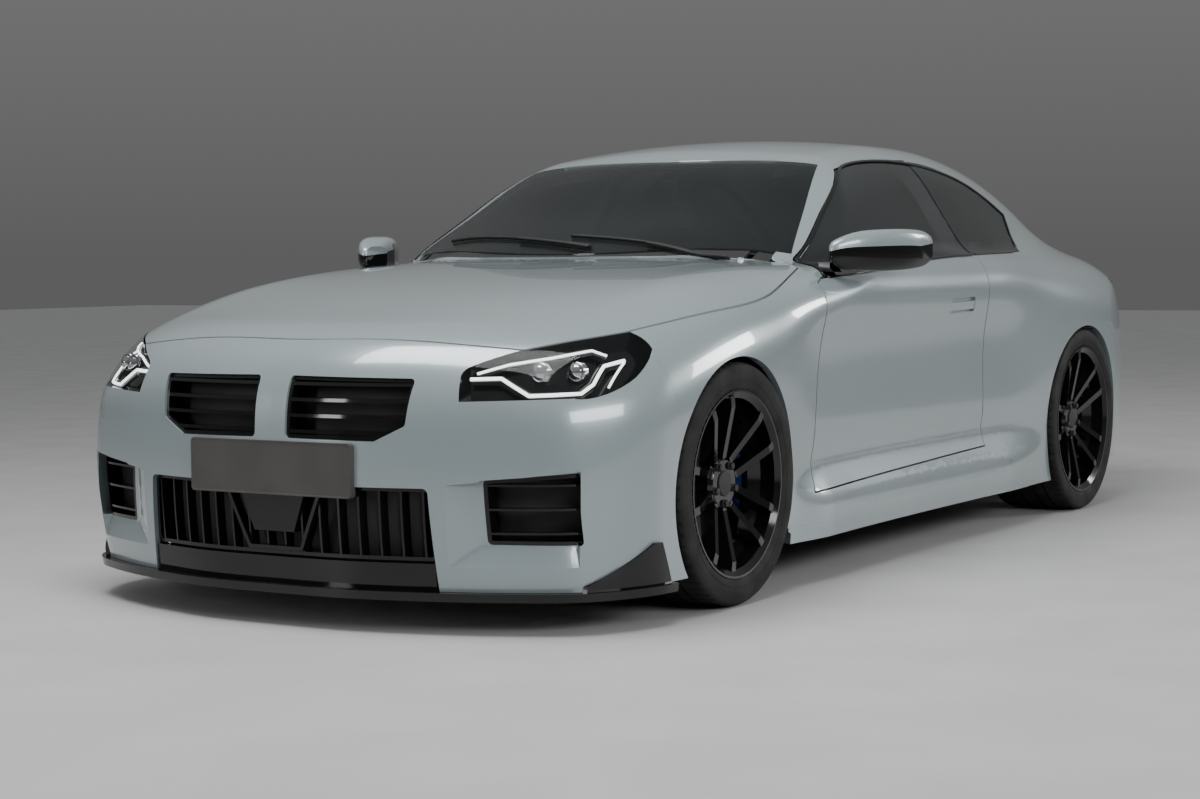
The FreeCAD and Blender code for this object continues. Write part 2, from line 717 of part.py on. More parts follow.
# Edges seen from above, as shares of half_length and half_width
bonnet_edge_shares = both_sides([(0.3130, 0.755), (0.3435, 0.838), (0.5435, 0.925, 1), (0.7900, 0.852),
                                 (0.860, 0.756, 1), (0.8941, 0.680), (0.910, 0.575, 1), (0.9235, 0.440)], 0.390, 0.9425)
screen_edge_shares = both_sides([(0.0652, 0.581), (0.2817, 0.7423)], 0.0939, 0.3757)
roof_edge_shares = both_sides([(-0.452, 0.552), (0.0610, 0.578)], -0.4365, 0.0922)
rear_window_edge_shares = both_sides([(-0.7515, 0.609), (-0.4565, 0.5514)], -0.752, -0.4380)
lid_edge_shares = both_sides([(-1.04, 0.62), (-0.896, 0.665), (-0.77, 0.650), (-0.7662, 0.620)], -1.05, -0.7665)

# Edges seen from the front or rear, as shares of half_width and roof_height
lamp_edge_shares = [(0.5746, 0.4995), (0.5640, 0.4935, 1), (0.5590, 0.4830), (0.5700, 0.4365), (0.8400, 0.4415),
                    (0.9020, 0.4490, 1), (0.9300, 0.4760), (0.9315, 0.5020, 1), (0.9230, 0.5250), (0.9010, 0.5410, 1),
                    (0.8560, 0.5590), (0.7300, 0.5403, 1)]
kidney_edge_shares = [(0.053, 0.481), (0.053, 0.363), (0.34, 0.361), (0.428, 0.391), (0.441, 0.478)]
mouth_edge_shares = [(-0.490, 0.275), (0.490, 0.275), (0.508, 0.06), (-0.508, 0.06)]
fin_edge_shares = [(-0.490, 0.275), (0.490, 0.275), (0.500, 0.137), (-0.500, 0.137)]
intake_edge_shares = [(0.624, 0.291), (0.868, 0.304), (0.870, 0.168), (0.630, 0.170)]
recess_edge_shares = [(0.520, 0.280), (0.878, 0.308), (0.882, 0.122), (0.516, 0.120)]
sensor_edge_shares = [(-0.115, 0.262), (0.115, 0.262), (0.070, 0.182), (-0.070, 0.182)]
sensor_frame_shares = [(-0.175, 0.270), (0.175, 0.270), (0.095, 0.146), (-0.095, 0.146)]
tail_lamp_edge_shares = [(0.600, 0.555), (0.600, 0.622), (0.80, 0.618), (1.06, 0.600), (1.06, 0.550)]
plate_recess_shares = [(-0.290, 0.330), (0.290, 0.330), (0.290, 0.420), (-0.290, 0.420)]

kidney_corner = size("kidney_corner", 12.0)
mouth_corner = size("mouth_corner", 16.0)
intake_corner = size("intake_corner", 12.0)
handle_corner = size("handle_corner", 10.0)
door_outline = outline("y", door_edge_shares, LONG, HIGH)
window_outline = outline("y", window_edge_shares, LONG, HIGH)
fender_outline = outline("y", fender_edge_shares, LONG, HIGH)
flank_outline = outline("y", flank_edge_shares, LONG, HIGH)
pocket_outline = outline("y", handle_pocket_shares, LONG, HIGH, handle_corner)
bar_outline = outline("y", handle_bar_shares, LONG, HIGH)
winglet_outline = outline("y", winglet_shares, LONG, HIGH)
bonnet_outline = outline("z", bonnet_edge_shares, LONG, WIDE)
screen_outline = outline("z", screen_edge_shares, LONG, WIDE)
roof_outline = outline("z", roof_edge_shares, LONG, WIDE)
rear_window_outline = outline("z", rear_window_edge_shares, LONG, WIDE)
lid_outline = outline("z", lid_edge_shares, LONG, WIDE)
lamp_outline = outline("x", lamp_edge_shares, WIDE, HIGH)
kidney_outline = outline("x", kidney_edge_shares, WIDE, HIGH, kidney_corner)
mouth_outline = outline("x", mouth_edge_shares, WIDE, HIGH, mouth_corner)
fin_outline = outline("x", fin_edge_shares, WIDE, HIGH, mouth_corner)
intake_outline = outline("x", intake_edge_shares, WIDE, HIGH, intake_corner)
recess_outline = outline("x", recess_edge_shares, WIDE, HIGH)
sensor_outline = outline("x", sensor_edge_shares, WIDE, HIGH)
sensor_frame_outline = outline("x", sensor_frame_shares, WIDE, HIGH)
tail_lamp_outline = outline("x", tail_lamp_edge_shares, WIDE, HIGH)
plate_outline = outline("x", plate_recess_shares, WIDE, HIGH, mouth_corner)

# Grids of rays for the whole car, made once
flank_rays = side_rays((-0.980, 0.49), 64)
wing_rays = side_rays((0.28, 0.84), 28)
front_rays = end_rays(front_focus_share, 1.0, wrap_shares, (45, 24))
rear_rays = end_rays(rear_focus_share, -1.0, tail_wrap_shares, (45, 24))
bonnet_rays = top_rays((0.28, 1.05), 1.05, (0.5, 0.5), (26, 27))
screen_rays = top_rays((0.0, 0.42), 0.80, (1.0, 0.6), (16, 23))
roof_rays = top_rays((-0.50, 0.14), 0.70, (1.0, 0.6), (20, 21))
rear_window_rays = top_rays((-0.80, -0.40), 0.75, (1.0, 0.6), (16, 21))
lid_rays = top_rays((-1.15, -0.72), 0.80, (0.25, 0.6), (24, 23), -0.82)


# Block whose limits are shares of half_length, half_width and roof_height
def block(shares):
    x0, x1, y0, y1, z0, z1 = shares
    return box(x0 * LONG, x1 * LONG, y0 * WIDE, y1 * WIDE, z0 * HIGH, z1 * HIGH)


def soft_block(shares, radius):
    made = block(shares)
    return made.makeFillet(float(radius), made.Edges)


# Through tools of the outlines, each with its clearance
def from_above(face, grow=0.0, low=deck_z):
    return run(face, "z", low, top_z, grow)


def from_side(face, grow=0.0):
    return run(face, "y", 0, far, grow)


def from_front(face, grow=0.0, low_share=0.0):
    return run(face, "x", LONG * low_share, end_x, grow)


def from_behind(face, low_share, grow=0.0):
    return run(face, "x", -end_x, LONG * low_share, grow)


# Space round the front wheel as it turns and steers, behind the thin edge of its arch
well_inner_share = 0.40


def front_well(side=1):
    hub_z = float(front_tyre_radius)
    inner = float(front_tyre_face - arch_lip)
    through = rod(arch_radius, Vector(FRONT_X, side * WIDE * well_inner_share, hub_z), Vector(FRONT_X, side * far, hub_z))
    reach = float(steering_clearance)
    shoulder = float(steering_shoulder)
    top_reach = float(front_tyre_face - kingpin_y + liner_gap)
    foot = Vector(FRONT_X, side * float(kingpin_y), 0)
    sweep = Part.makeCylinder(reach, shoulder, foot)
    narrow = Part.makeCone(reach, top_reach, float(arch_radius) + hub_z - shoulder, foot + UP * shoulder)
    inside = box(0, LONG, side * WIDE * well_inner_share, side * inner, -HIGH, HIGH)
    return [through, sweep.fuse(narrow).common(inside)]


def rear_well(side=1):
    hub_z = float(rear_tyre_radius)
    inner = side * float(rear_tyre_face - rear_tyre_width - well_clearance)
    return [rod(arch_radius, Vector(REAR_X, inner, hub_z), Vector(REAR_X, side * far, hub_z))]


wells = front_well() + front_well(-1) + rear_well() + rear_well(-1)

# The door's hinge line, the strip behind the rear window and the front edge of the quarter glass
hinge_share = 0.3304
hinge_height_shares = (0.30, 0.52)
strip_shares = (-0.7665, -0.740, -0.60, 0.60, 0.5, 1.0)
drain_end_share = -0.7720
drain_wall_share = -0.7535
split_share = -0.2000
pillar_share = 0.026
sail_share = 0.284
cowl_shares = (0.26, 0.42, -0.70, 0.70, 0.5, 1.0)
hinge_x = LONG * hinge_share
hinge_y = width_at(hinge_x, HIGH * sum(hinge_height_shares) / 2) - float(hinge_set)
hinge_heights = [HIGH * share for share in hinge_height_shares]


# Space behind the fender's edge that the door's front edge swings through
def door_sweep():
    turn_space = Part.makeCylinder(float(hinge_sweep), top_z, Vector(hinge_x, hinge_y, 0))
    return turn_space.common(slab(side_rays((0.20, 0.50), 16), fender_edge, side_thickness * 6))


# The car's side in one pressing: sill, posts, rear quarter and roof rail
def make_flank():
    shape = slab(flank_rays, 0, side_thickness).common(from_side(flank_outline))
    door_seat = slab(flank_rays, -overrun, door_skin + shut_gap).common(from_side(door_outline, shut_gap))
    door_hole = from_side(door_outline, shut_gap - door_flange)
    split = LONG * split_share
    front_window = from_side(window_outline, shut_gap).common(box(split, LONG, 0, far, 0, top_z))
    rear_side = box(-LONG, split - LONG * pillar_share, 0, far, 0, top_z)
    rear_hole = from_side(window_outline, -door_flange / 2).common(rear_side)
    glass_seat = slab(flank_rays, -overrun, glass_thickness + glass_inset * 3).common(from_side(window_outline, seat_gap))
    tools = [door_seat, door_hole, front_window, rear_hole, glass_seat, door_sweep(), from_side(fender_outline, seat_gap)]
    tools += [from_above(face, seat_gap) for face in (screen_outline, roof_outline, rear_window_outline)]
    tools += [from_above(face, shut_gap) for face in (bonnet_outline, lid_outline)]
    tools += [from_behind(tail_lamp_outline, tail_lamp_share, seat_gap)]
    tools += [block(strip_shares), block(cowl_shares)]
    return main_solid(cut_by(shape, tools + wells))


def make_fender():
    shape = slab(wing_rays, 0, skin_thickness).common(from_side(fender_outline))
    tools = [from_side(door_outline, shut_gap), from_above(bonnet_outline, shut_gap), door_sweep()]
    tools += [from_front(lamp_outline, seat_gap, lamp_back_share - pillar_share), from_side(window_outline, shut_gap)]
    return main_solid(cut_by(shape, tools + wells))


# Pocket round the side intake, its floor sloping in from the inner and the lower edge
recess_slope_shares = (0.104, 0.046)
recess_fan_shares = (0.44, 0.97, 0.06, 0.36)
recess_aim_share = 0.94
recess_grid = 26


def recess_floor(point):
    across = (point.y / WIDE - recess_edge_shares[0][0]) / recess_slope_shares[0]
    up = (point.z / HIGH - recess_edge_shares[3][1]) / recess_slope_shares[1]
    part_way = min(max(min(across, up), 0.0), 1.0)
    return float(recess_depth + shut_gap) * part_way - float(shut_gap)


def intake_recess():
    start = LONG * front_focus_share
    widths = steps(WIDE * recess_fan_shares[0], WIDE * recess_fan_shares[1], recess_grid)
    heights = steps(HIGH * recess_fan_shares[2], HIGH * recess_fan_shares[3], recess_grid)
    rays = fan(0, start, LONG * recess_aim_share, (0.0, 0.0), (0.0, 1.0), widths, heights)
    return slab(rays, -overrun, recess_floor).common(from_front(recess_outline))


# Outer panels of the front
def make_bonnet():
    skin = main_solid(slab(bonnet_rays, 0, bonnet_skin).common(from_above(bonnet_outline)))
    frame = slab(bonnet_rays, bonnet_skin / 2, bonnet_thickness).common(from_above(bonnet_outline, -bonnet_flange))
    return main_solid(joined([skin, main_solid(frame)]))


def make_front_bumper():
    skin = slab(front_rays, 0, bumper_thickness).common(block(bumper_limit_shares))
    pocket = slab(front_rays, bumper_thickness / 2, recess_depth + bumper_thickness).common(from_front(recess_outline, flange_thickness))
    shape = joined([skin, pocket, mirrored(pocket)])
    tools = [from_above(bonnet_outline, shut_gap), from_front(mouth_outline)]
    one_side = [from_front(kidney_outline), from_front(intake_outline), intake_recess(), from_side(fender_outline, seat_gap)]
    one_side.append(from_front(lamp_outline, seat_gap, lamp_back_share - pillar_share))
    for tool in one_side:
        tools += [tool, mirrored(tool)]
    return main_solid(cut_by(shape, tools + wells))


def make_headlamps():
    lamp = slab(front_rays, 0, bumper_thickness * 2).common(from_front(lamp_outline, 0, lamp_back_share))
    lamp = main_solid(cut_by(lamp, [from_above(bonnet_outline, shut_gap)] + wells))
    return both(lamp)


# Blade under the nose, with the dark lip above it and an upright plate at each end
def make_splitter():
    blade = slab(front_rays, -splitter_reach, splitter_depth).common(block(blade_shares))
    lip = slab(front_rays, lip_inset, lip_inset + bumper_thickness).common(block(lip_shares))
    plate = slab(front_rays, -winglet_thickness - shut_gap / 4, -shut_gap / 4).common(from_side(winglet_outline))
    plate = main_solid(plate)
    return main_solid(cut_by(joined([blade, lip, plate, mirrored(plate)]), wells))


# Frame round an opening, with level bars or upright fins across it
def slats(face, upright, count, thickness, depths):
    holder = slab(front_rays, depths[0], depths[1]).common(from_front(face, -seat_gap, grille_back_share))
    bounds = face.BoundBox
    low, high = (bounds.YMin, bounds.YMax) if upright else (bounds.ZMin, bounds.ZMax)
    spacing = (high - low) / count
    half = float(thickness) / 2
    bars = []
    for i in range(count):
        middle = low + spacing * (i + 1 / 2)
        limits = (middle - half, middle + half, 0, HIGH) if upright else (-far, far, middle - half, middle + half)
        bars.append(box(0, end_x, *limits))
    frame = holder.cut(from_front(face, -seat_gap - grille_frame, grille_back_share))
    return main_solid(joined([frame] + holder.common(joined(bars)).Solids))


def make_grilles():
    kidney = slats(kidney_outline, False, kidney_bars, kidney_bar, (grille_inset, grille_depth))
    kidney = main_solid(kidney.cut(from_above(bonnet_outline, shut_gap)))
    intake = slats(intake_outline, False, intake_bars, fin_thickness, (recess_depth, recess_depth + grille_depth))
    mouth = slats(fin_outline, True, mouth_fins, fin_thickness, (grille_inset * 2, grille_depth + grille_inset))
    depths = (grille_inset, grille_depth)
    sensor = slab(front_rays, *depths).common(from_front(sensor_outline, 0, grille_back_share))
    frame = slab(front_rays, *depths).common(from_front(sensor_frame_outline, 0, grille_back_share))
    frame = frame.cut(from_front(sensor_frame_outline, -grille_frame, 0))
    mouth = main_solid(joined([mouth, sensor, frame]))
    return Part.makeCompound([kidney, mirrored(kidney), intake, mirrored(intake), mouth])


# Outer panels of the rear
def make_rear_bumper():
    shape = slab(rear_rays, 0, bumper_thickness).common(block(rear_bumper_shares))
    plate = slab(rear_rays, -overrun, plate_recess).common(from_behind(plate_outline, rear_focus_share))
    tools = [from_above(lid_outline, shut_gap, HIGH * lid_foot_share - shut_gap), block(diffuser_hole_shares), plate]
    for tool in (from_behind(tail_lamp_outline, rear_focus_share, seat_gap), from_side(flank_outline, seat_gap)):
        tools += [tool, mirrored(tool)]
    return main_solid(cut_by(shape, tools + wells))


def make_tail_lamps():
    lamp = slab(rear_rays, 0, bumper_thickness * 2).common(from_behind(tail_lamp_outline, tail_lamp_share))
    return both(main_solid(lamp.cut(from_above(lid_outline, shut_gap))))


pipe_z = HIGH * pipe_shares["height"]
pipe_places = [side * WIDE * share for side in (1, -1) for share in pipe_shares["across"]]


def make_diffuser():
    hole = block(diffuser_hole_shares).BoundBox
    inside = box(hole.XMin, hole.XMax, hole.YMin + seat_gap, hole.YMax - seat_gap, hole.ZMin, hole.ZMax - seat_gap)
    shape = slab(rear_rays, shut_gap, bumper_thickness * 2).common(inside)
    reach = pipe_radius + shut_gap
    holes = [rod(reach, Vector(-end_x, y, pipe_z), Vector(0, y, pipe_z)) for y in pipe_places]
    fins = []
    for side in (-1, 0, 1):
        middle = side * WIDE * pipe_shares["fin"]
        half = float(fin_thickness) / 2
        fin = slab(rear_rays, 0, bumper_thickness).common(box(-end_x, 0, middle - half, middle + half, hole.ZMin, hole.ZMax - overrun))
        fins.append(main_solid(fin))
    return main_solid(joined([main_solid(cut_by(shape, holes))] + fins))


def make_exhaust():
    pieces = [soft_block(silencer_shares, silencer_corner)]
    end = LONG * pipe_shares["end"]
    root = LONG * silencer_shares[0]
    for y in pipe_places:
        pipe = rod(pipe_radius, Vector(end, y, pipe_z), Vector(root + pipe_radius, y, pipe_z))
        pieces.append(pipe.cut(rod(pipe_radius - pipe_wall, Vector(-end_x, y, pipe_z), Vector(root - pipe_wall, y, pipe_z))))
    for side in (1, -1):
        x, y = [(silencer_shares[0] + silencer_shares[1]) / 2 * LONG, side * WIDE * pipe_shares["hanger"]]
        foot = HIGH * silencer_shares[5] - silencer_corner
        pieces.append(rod(hanger_radius, Vector(x, y, foot), Vector(x, y, HIGH * boot_floor_shares[4] - seat_gap)))
    return joined(pieces)


def make_lid():
    return main_solid(slab(lid_rays, 0, bonnet_thickness).common(from_above(lid_outline, 0, HIGH * lid_foot_share)))


def make_roof():
    return main_solid(slab(roof_rays, 0, roof_thickness).common(from_above(roof_outline)))


def make_glass(rays, face, others):
    shape = slab(rays, glass_inset, glass_thickness + glass_inset).common(from_above(face))
    return main_solid(cut_by(shape, [from_above(other, seat_gap) for other in others]))


# Door: outer skin with a recessed handle, box behind it and two hinge eyes
def make_door():
    skin = main_solid(slab(flank_rays, 0, door_skin).common(from_side(door_outline)))
    pocket = slab(flank_rays, -overrun, handle_depth).common(from_side(pocket_outline))
    bar = slab(flank_rays, handle_thickness / 4, handle_thickness).common(from_side(bar_outline))
    skin = skin.cut(pocket)
    inner = slab(flank_rays, door_skin - handle_thickness / 4, door_thickness).common(from_side(door_outline, -door_flange))
    behind_hinge = box(-LONG, hinge_x - barrel_radius * 2, 0, far, 0, HIGH * door_top_share)
    pieces = [skin, main_solid(bar), main_solid(inner.common(behind_hinge))]
    pins = []
    for z in hinge_heights:
        eye = Vector(hinge_x, hinge_y, z)
        pieces.append(rod(barrel_radius, eye - UP * barrel_half, eye + UP * barrel_half))
        pieces.append(box(hinge_x - hinge_set, hinge_x, hinge_y - barrel_wall, hinge_y + barrel_wall, z - barrel_half, z + barrel_half))
        pins.append(rod(hinge_pin + seat_gap, eye - UP * barrel_half * 2, eye + UP * barrel_half * 2))
    return main_solid(cut_by(joined(pieces), pins))


def make_door_glass():
    pane = slab(flank_rays, glass_inset * 3, glass_thickness + glass_inset * 3).common(from_side(window_outline, -glass_inset))
    pane = pane.common(box(LONG * split_share + glass_inset * 3, LONG * sail_share - seat_gap, 0, far, 0, top_z))
    return main_solid(pane.cut(from_side(door_outline, seat_gap)))


def make_quarter_glass():
    pane = slab(flank_rays, glass_inset, glass_thickness + glass_inset).common(from_side(window_outline))
    return both(main_solid(pane.common(box(-LONG, LONG * split_share - glass_inset * 3, 0, far, 0, top_z))))


# Mirror: housing on a stalk, and the sail plate that carries it in the window's front corner
def make_mirror():
    wires = []
    for across, rear, front, low, high in mirror_section_shares:
        face = outline("y", [(rear, low), (front, low), (front, high), (rear, high)], LONG, HIGH, mirror_corner)
        face = face.copy()
        face.translate(Vector(0, across * WIDE, 0))
        wires.append(face.OuterWire)
    housing = Part.makeLoft(wires, True)
    sail = slab(flank_rays, glass_inset, glass_thickness + glass_inset * 3).common(from_side(window_outline, -glass_inset))
    sail = sail.common(box(LONG * sail_share, LONG, 0, far, 0, top_z)).cut(from_side(door_outline, seat_gap))
    return main_solid(joined([housing, block(mirror_stalk_shares), main_solid(sail)]))


# Floor, bulkheads, posts and rails in one pressing
def make_floor():
    bottom = float(ride_height)
    top = bottom + float(floor_thickness)
    wall = float(floor_thickness)
    front, back, rear_end = [LONG * share for share in floor_end_shares]
    narrow, wide = [WIDE * share for share in floor_width_shares]
    pieces = [box(back, front, -wide, wide, bottom, top), box(rear_end, back, -narrow, narrow, bottom, top)]
    pieces.append(box(rear_end, front, -WIDE * tunnel_shares[0], WIDE * tunnel_shares[0], bottom, HIGH * tunnel_shares[1]))
    pieces.append(box(front - wall, front, -wide + wall * 4, wide - wall * 4, bottom, HIGH * bulkhead_share))
    pieces.append(box(rear_end - wall, rear_end, -narrow, narrow, bottom, HIGH * shelf_shares[4] + wall / 2))
    pieces += [block(boot_floor_shares), block(shelf_shares), block(nose_beam_shares)]
    for side in (1, -1):
        pieces += [block(shares[:2] + (side * shares[2], side * shares[3]) + shares[4:]) for shares in (rail_shares, post_shares)]
        pieces.append(box(back, LONG * post_shares[0], side * (wide - wall), side * wide, bottom, HIGH * sill_share))
    return joined(pieces)


# One plain block for engine and gearbox, with a foot on each rail
def make_engine():
    foot_height = HIGH * (rail_shares[4] + rail_shares[5]) / 2
    feet = []
    for side in (1, -1):
        inner, outer = side * WIDE * engine_shares[2] / 2, side * (WIDE * rail_shares[2] - seat_gap)
        x = LONG * (engine_shares[0] + engine_shares[1]) / 2
        feet.append(box(x - foot_half, x + foot_half, inner, outer, foot_height - foot_half / 2, foot_height + foot_half / 2))
    return joined([soft_block(engine_shares, engine_corner)] + feet)


def make_liner(x, z, radius, inner, skin):
    shell = rod(radius + liner_thickness, Vector(x, inner, z), Vector(x, far, z)).cut(rod(radius, Vector(x, 0, z), Vector(x, far, z)))
    shell = shell.common(box(-LONG, LONG, 0, far, HIGH * liner_foot_share, top_z))
    return main_solid(shell.cut(skin))


def make_liners():
    front = make_liner(FRONT_X, float(front_tyre_radius), steering_clearance + liner_gap, WIDE * well_inner_share,
                       slab(wing_rays, -overrun, skin_thickness + liner_gap))
    front = front.cut(rod(strut_radius, strut_foot, strut_head))
    inner = float(rear_tyre_face - rear_tyre_width - well_clearance)
    rear = make_liner(REAR_X, float(rear_tyre_radius), arch_radius + liner_gap / 4, inner,
                      slab(flank_rays, -overrun, side_thickness + liner_gap))
    return Part.makeCompound([front, mirrored(front), rear, mirrored(rear)])


# Running gear of the front
strut_foot = Vector(FRONT_X, WIDE * strut_shares[0], float(front_tyre_radius - ball_rise))
strut_head = Vector(FRONT_X, WIDE * strut_shares[1], HIGH * strut_shares[2])


def make_front_suspension():
    hub_z = float(front_tyre_radius)
    half = float(arm_thickness) / 2
    pieces = []
    for way in (-1, 1):
        z = hub_z + way * float(ball_rise)
        eye = Vector(FRONT_X, float(kingpin_y), z)
        for reach in (-arm_spread, arm_spread * 4 / 5):
            pieces.append(rod(half, Vector(FRONT_X + reach, WIDE * arm_root_share, z), eye))
        pieces.append(rod(ball_radius, eye - UP * half, eye + UP * half))
    pieces.append(block(tower_shares))
    pieces.append(box(FRONT_X - arm_spread / 2, FRONT_X + arm_spread * 2 / 5, strut_foot.y - half, strut_foot.y + half,
                      strut_foot.z - half + 1, strut_foot.z + half - 1))
    pieces.append(rod(strut_radius * strut_shares[3], strut_foot, strut_head))
    pin = rod(kingpin_radius + seat_gap, Vector(FRONT_X, float(kingpin_y), 0), Vector(FRONT_X, float(kingpin_y), HIGH))
    return joined(pieces).cut(pin)


# Outboard face of a brake disc's bell, and the inboard face of its caliper
def disc_face(axle):
    return hub_places[axle] + tyre_widths[axle] / 2 - rim_inset - hub_sink - hub_depth - seat_gap


def caliper_inside(axle):
    return float(disc_face(axle) - bell_depth - caliper_inset)


def hub_face(axle):
    return float(hub_places[axle] + tyre_widths[axle] / 2 - rim_inset - hub_sink - seat_gap * 10)


def make_knuckle():
    hub_z = float(front_tyre_radius)
    y = float(kingpin_y)
    eye = Vector(FRONT_X, y, hub_z)
    half = float(ball_rise - arm_thickness / 2) - seat_gap * 2
    wide = float(ball_radius)
    reach = float(ball_rise + arm_thickness)
    upright = box(FRONT_X - wide, FRONT_X + wide, y - wide, y + wide, hub_z - half, hub_z + half)
    pin = rod(kingpin_radius, eye - UP * reach, eye + UP * reach)
    stub = rod(hub_bore - seat_gap, eye, Vector(FRONT_X, hub_face("front"), hub_z))
    bracket = box(FRONT_X - bracket_reach, FRONT_X, y - wide, caliper_inside("front") - seat_gap, hub_z - bracket_half, hub_z + bracket_half)
    return joined([upright, pin, stub, bracket])


def make_caliper(axle):
    x = float(axle_places[axle])
    hub_z = float(hub_heights[axle])
    inside = caliper_inside(axle)
    face = inside + caliper_inset
    outside = face + caliper_grip
    radius = disc_radii[axle]
    way = -1 if axle == "front" else 1
    outer = rod(radius + caliper_rise, Vector(x, inside, hub_z), Vector(x, outside, hub_z))
    inner = rod(radius - caliper_pad, Vector(x, 0, hub_z), Vector(x, far, hub_z))
    slot = rod(radius + shut_gap, Vector(x, face - disc_thickness - shut_gap, hub_z), Vector(x, face + shut_gap, hub_z))
    window = box(x, x + way * (radius + caliper_rise * 2), 0, far, hub_z - caliper_half, hub_z + caliper_half)
    return main_solid(outer.cut([inner, slot]).common(window))


def make_rear_suspension():
    hub_z = float(rear_tyre_radius)
    half = float(arm_thickness) / 2
    carrier, root, spread = rear_arm_shares
    eye = Vector(REAR_X, WIDE * carrier, hub_z)
    pieces = [box(REAR_X, REAR_X + bracket_reach, eye.y, caliper_inside("rear") - seat_gap, hub_z - bracket_half, hub_z + bracket_half)]
    pieces.append(rod(hub_bore - seat_gap, Vector(REAR_X, WIDE * axle_root_share, hub_z), Vector(REAR_X, hub_face("rear"), hub_z)))
    pieces.append(box(REAR_X - bracket_half, REAR_X + bracket_half, eye.y - half, eye.y + half, hub_z - ball_rise, hub_z + ball_rise))
    for z in (hub_z - ball_rise + arm_thickness / 2, hub_z + ball_rise - arm_thickness / 2):
        for reach in (-arm_spread, arm_spread):
            pieces.append(rod(half, Vector(REAR_X + reach, WIDE * root, float(z)), Vector(REAR_X, eye.y, float(z))))
    low = hub_z - ball_rise
    beam_half = LONG * spread
    pieces.append(box(REAR_X - beam_half, REAR_X + beam_half, -1, WIDE * root, low, low + bracket_half))
    pieces.append(box(REAR_X - beam_half, REAR_X + beam_half, WIDE * root - half, WIDE * root + half, low, HIGH * boot_floor_shares[4] - seat_gap))
    shape = joined(pieces)
    return joined([shape, mirrored(shape)])


# Cabin
def steering_centre():
    return Vector(column_shares[0] * LONG, column_shares[1] * WIDE, column_shares[2] * HIGH)


# Unit vector from the driver down the column
def steering_way():
    angle = math.pi / 2 * column_shares[3]
    return Vector(math.cos(angle), 0, -math.sin(angle))


def make_dashboard():
    pieces = [soft_block(dash_front_shares, dash_corner), soft_block(dash_back_shares, dash_corner / 2)]
    pieces.append(soft_block(console_shares, dash_corner / 2))
    start = steering_centre() + steering_way() * (float(boss_depth) + seat_gap)
    pieces.append(rod(column_radius, start, start + steering_way() * float(wheel_ring_radius)))
    return joined(pieces)


def make_steering_wheel():
    centre = steering_centre()
    way = steering_way()
    pieces = [Part.makeTorus(float(wheel_ring_radius), float(wheel_ring_grip), centre, way * -1)]
    pieces.append(rod(boss_radius, centre - way * float(wheel_ring_grip), centre + way * float(boss_depth)))
    up = Vector(-way.z, 0, way.x)
    for leg in (Vector(0, 1, 0), Vector(0, -1, 0), up * -1):
        pieces.append(rod(wheel_leg_radius, centre + leg * float(boss_radius) / 2, centre + leg * float(wheel_ring_radius)))
    return joined(pieces)


def make_front_seats():
    seats = []
    half = float(seat_width) / 2
    for side in (1, -1):
        middle = side * WIDE * seat_middle_share
        blocks = []
        for shares, cut_in in zip(front_seat_shares, seat_taper_shares):
            wide = half * cut_in
            x0, x1, z0, z1 = shares
            blocks.append(soft_box(x0 * LONG, x1 * LONG, middle - wide, middle + wide, z0 * HIGH, z1 * HIGH, cushion_corner))
        blocks[1].rotate(Vector(seat_pivot_shares[0] * LONG, 0, seat_pivot_shares[1] * HIGH), Vector(0, 1, 0), -seat_lean_angle)
        x0, x1 = front_seat_shares[0][:2]
        top = HIGH * front_seat_shares[0][2] + cushion_corner
        rails = half / 2
        blocks.append(box(x0 * LONG + cushion_corner, x1 * LONG - cushion_corner, middle - rails, middle + rails, ride_height + floor_thickness + seat_gap, top))
        seats.append(joined(blocks))
    return Part.makeCompound(seats)


def make_rear_bench():
    cushion, back = rear_bench_shares
    tunnel_top = HIGH * tunnel_shares[1] + seat_gap
    feet = box(cushion[0] * LONG + overrun, cushion[1] * LONG - overrun, -WIDE * tunnel_shares[0], WIDE * tunnel_shares[0], tunnel_top, HIGH * cushion[4] + cushion_corner)
    return joined([soft_block(cushion, cushion_corner), soft_block(back, cushion_corner), feet])


# Mirror inside the windscreen, on the pod that holds it to the glass
def make_inner_mirror():
    pod = slab(screen_rays, glass_thickness + glass_inset + seat_gap, pod_depth).common(block(pod_shares))
    return joined([main_solid(pod), soft_block(inner_mirror_shares, glass_thickness)])


# A block made narrower by the seat gap on each side
def narrowed(shares):
    x0, x1, y0, y1, z0, z1 = shares
    return box(x0 * LONG, x1 * LONG, y0 * WIDE + seat_gap, y1 * WIDE - seat_gap, z0 * HIGH, z1 * HIGH)


# Slots in a strip for the hinges at one place across
def slotted(shape, y, half):
    return cut_by(shape, [box(-LONG, LONG, side * (y - half), side * (y + half), 0, top_z) for side in (1, -1)]).Solids


# Strip before the windscreen, and the ledge and drain between the rear window and the boot lid
def make_cowl():
    shape = slab(bonnet_rays, cowl_depth, cowl_depth * 3).common(narrowed(cowl_shares))
    front = main_solid(cut_by(shape, [from_above(bonnet_outline, shut_gap), from_above(screen_outline, seat_gap)]))
    under_glass = glass_thickness + glass_inset + seat_gap
    wall_end = drain_wall_share + drain_wall / LONG
    ledge = slab(rear_window_rays, under_glass, bonnet_thickness).common(narrowed((drain_wall_share,) + strip_shares[1:]))
    wall = slab(rear_window_rays, under_glass, drain_depth + drain_wall).common(narrowed((drain_wall_share, wall_end) + strip_shares[2:]))
    drain = slab(rear_window_rays, drain_depth, drain_depth + drain_wall).common(narrowed((drain_end_share, wall_end) + strip_shares[2:]))
    rear = joined([main_solid(ledge), main_solid(wall), main_solid(drain)])
    rear_pieces = slotted(rear, WIDE * lid_hinge_shares[1], hinge_slot)
    return Part.makeCompound(slotted(front, WIDE * bonnet_hinge_shares[2], arm_wall + shut_gap) + rear_pieces)


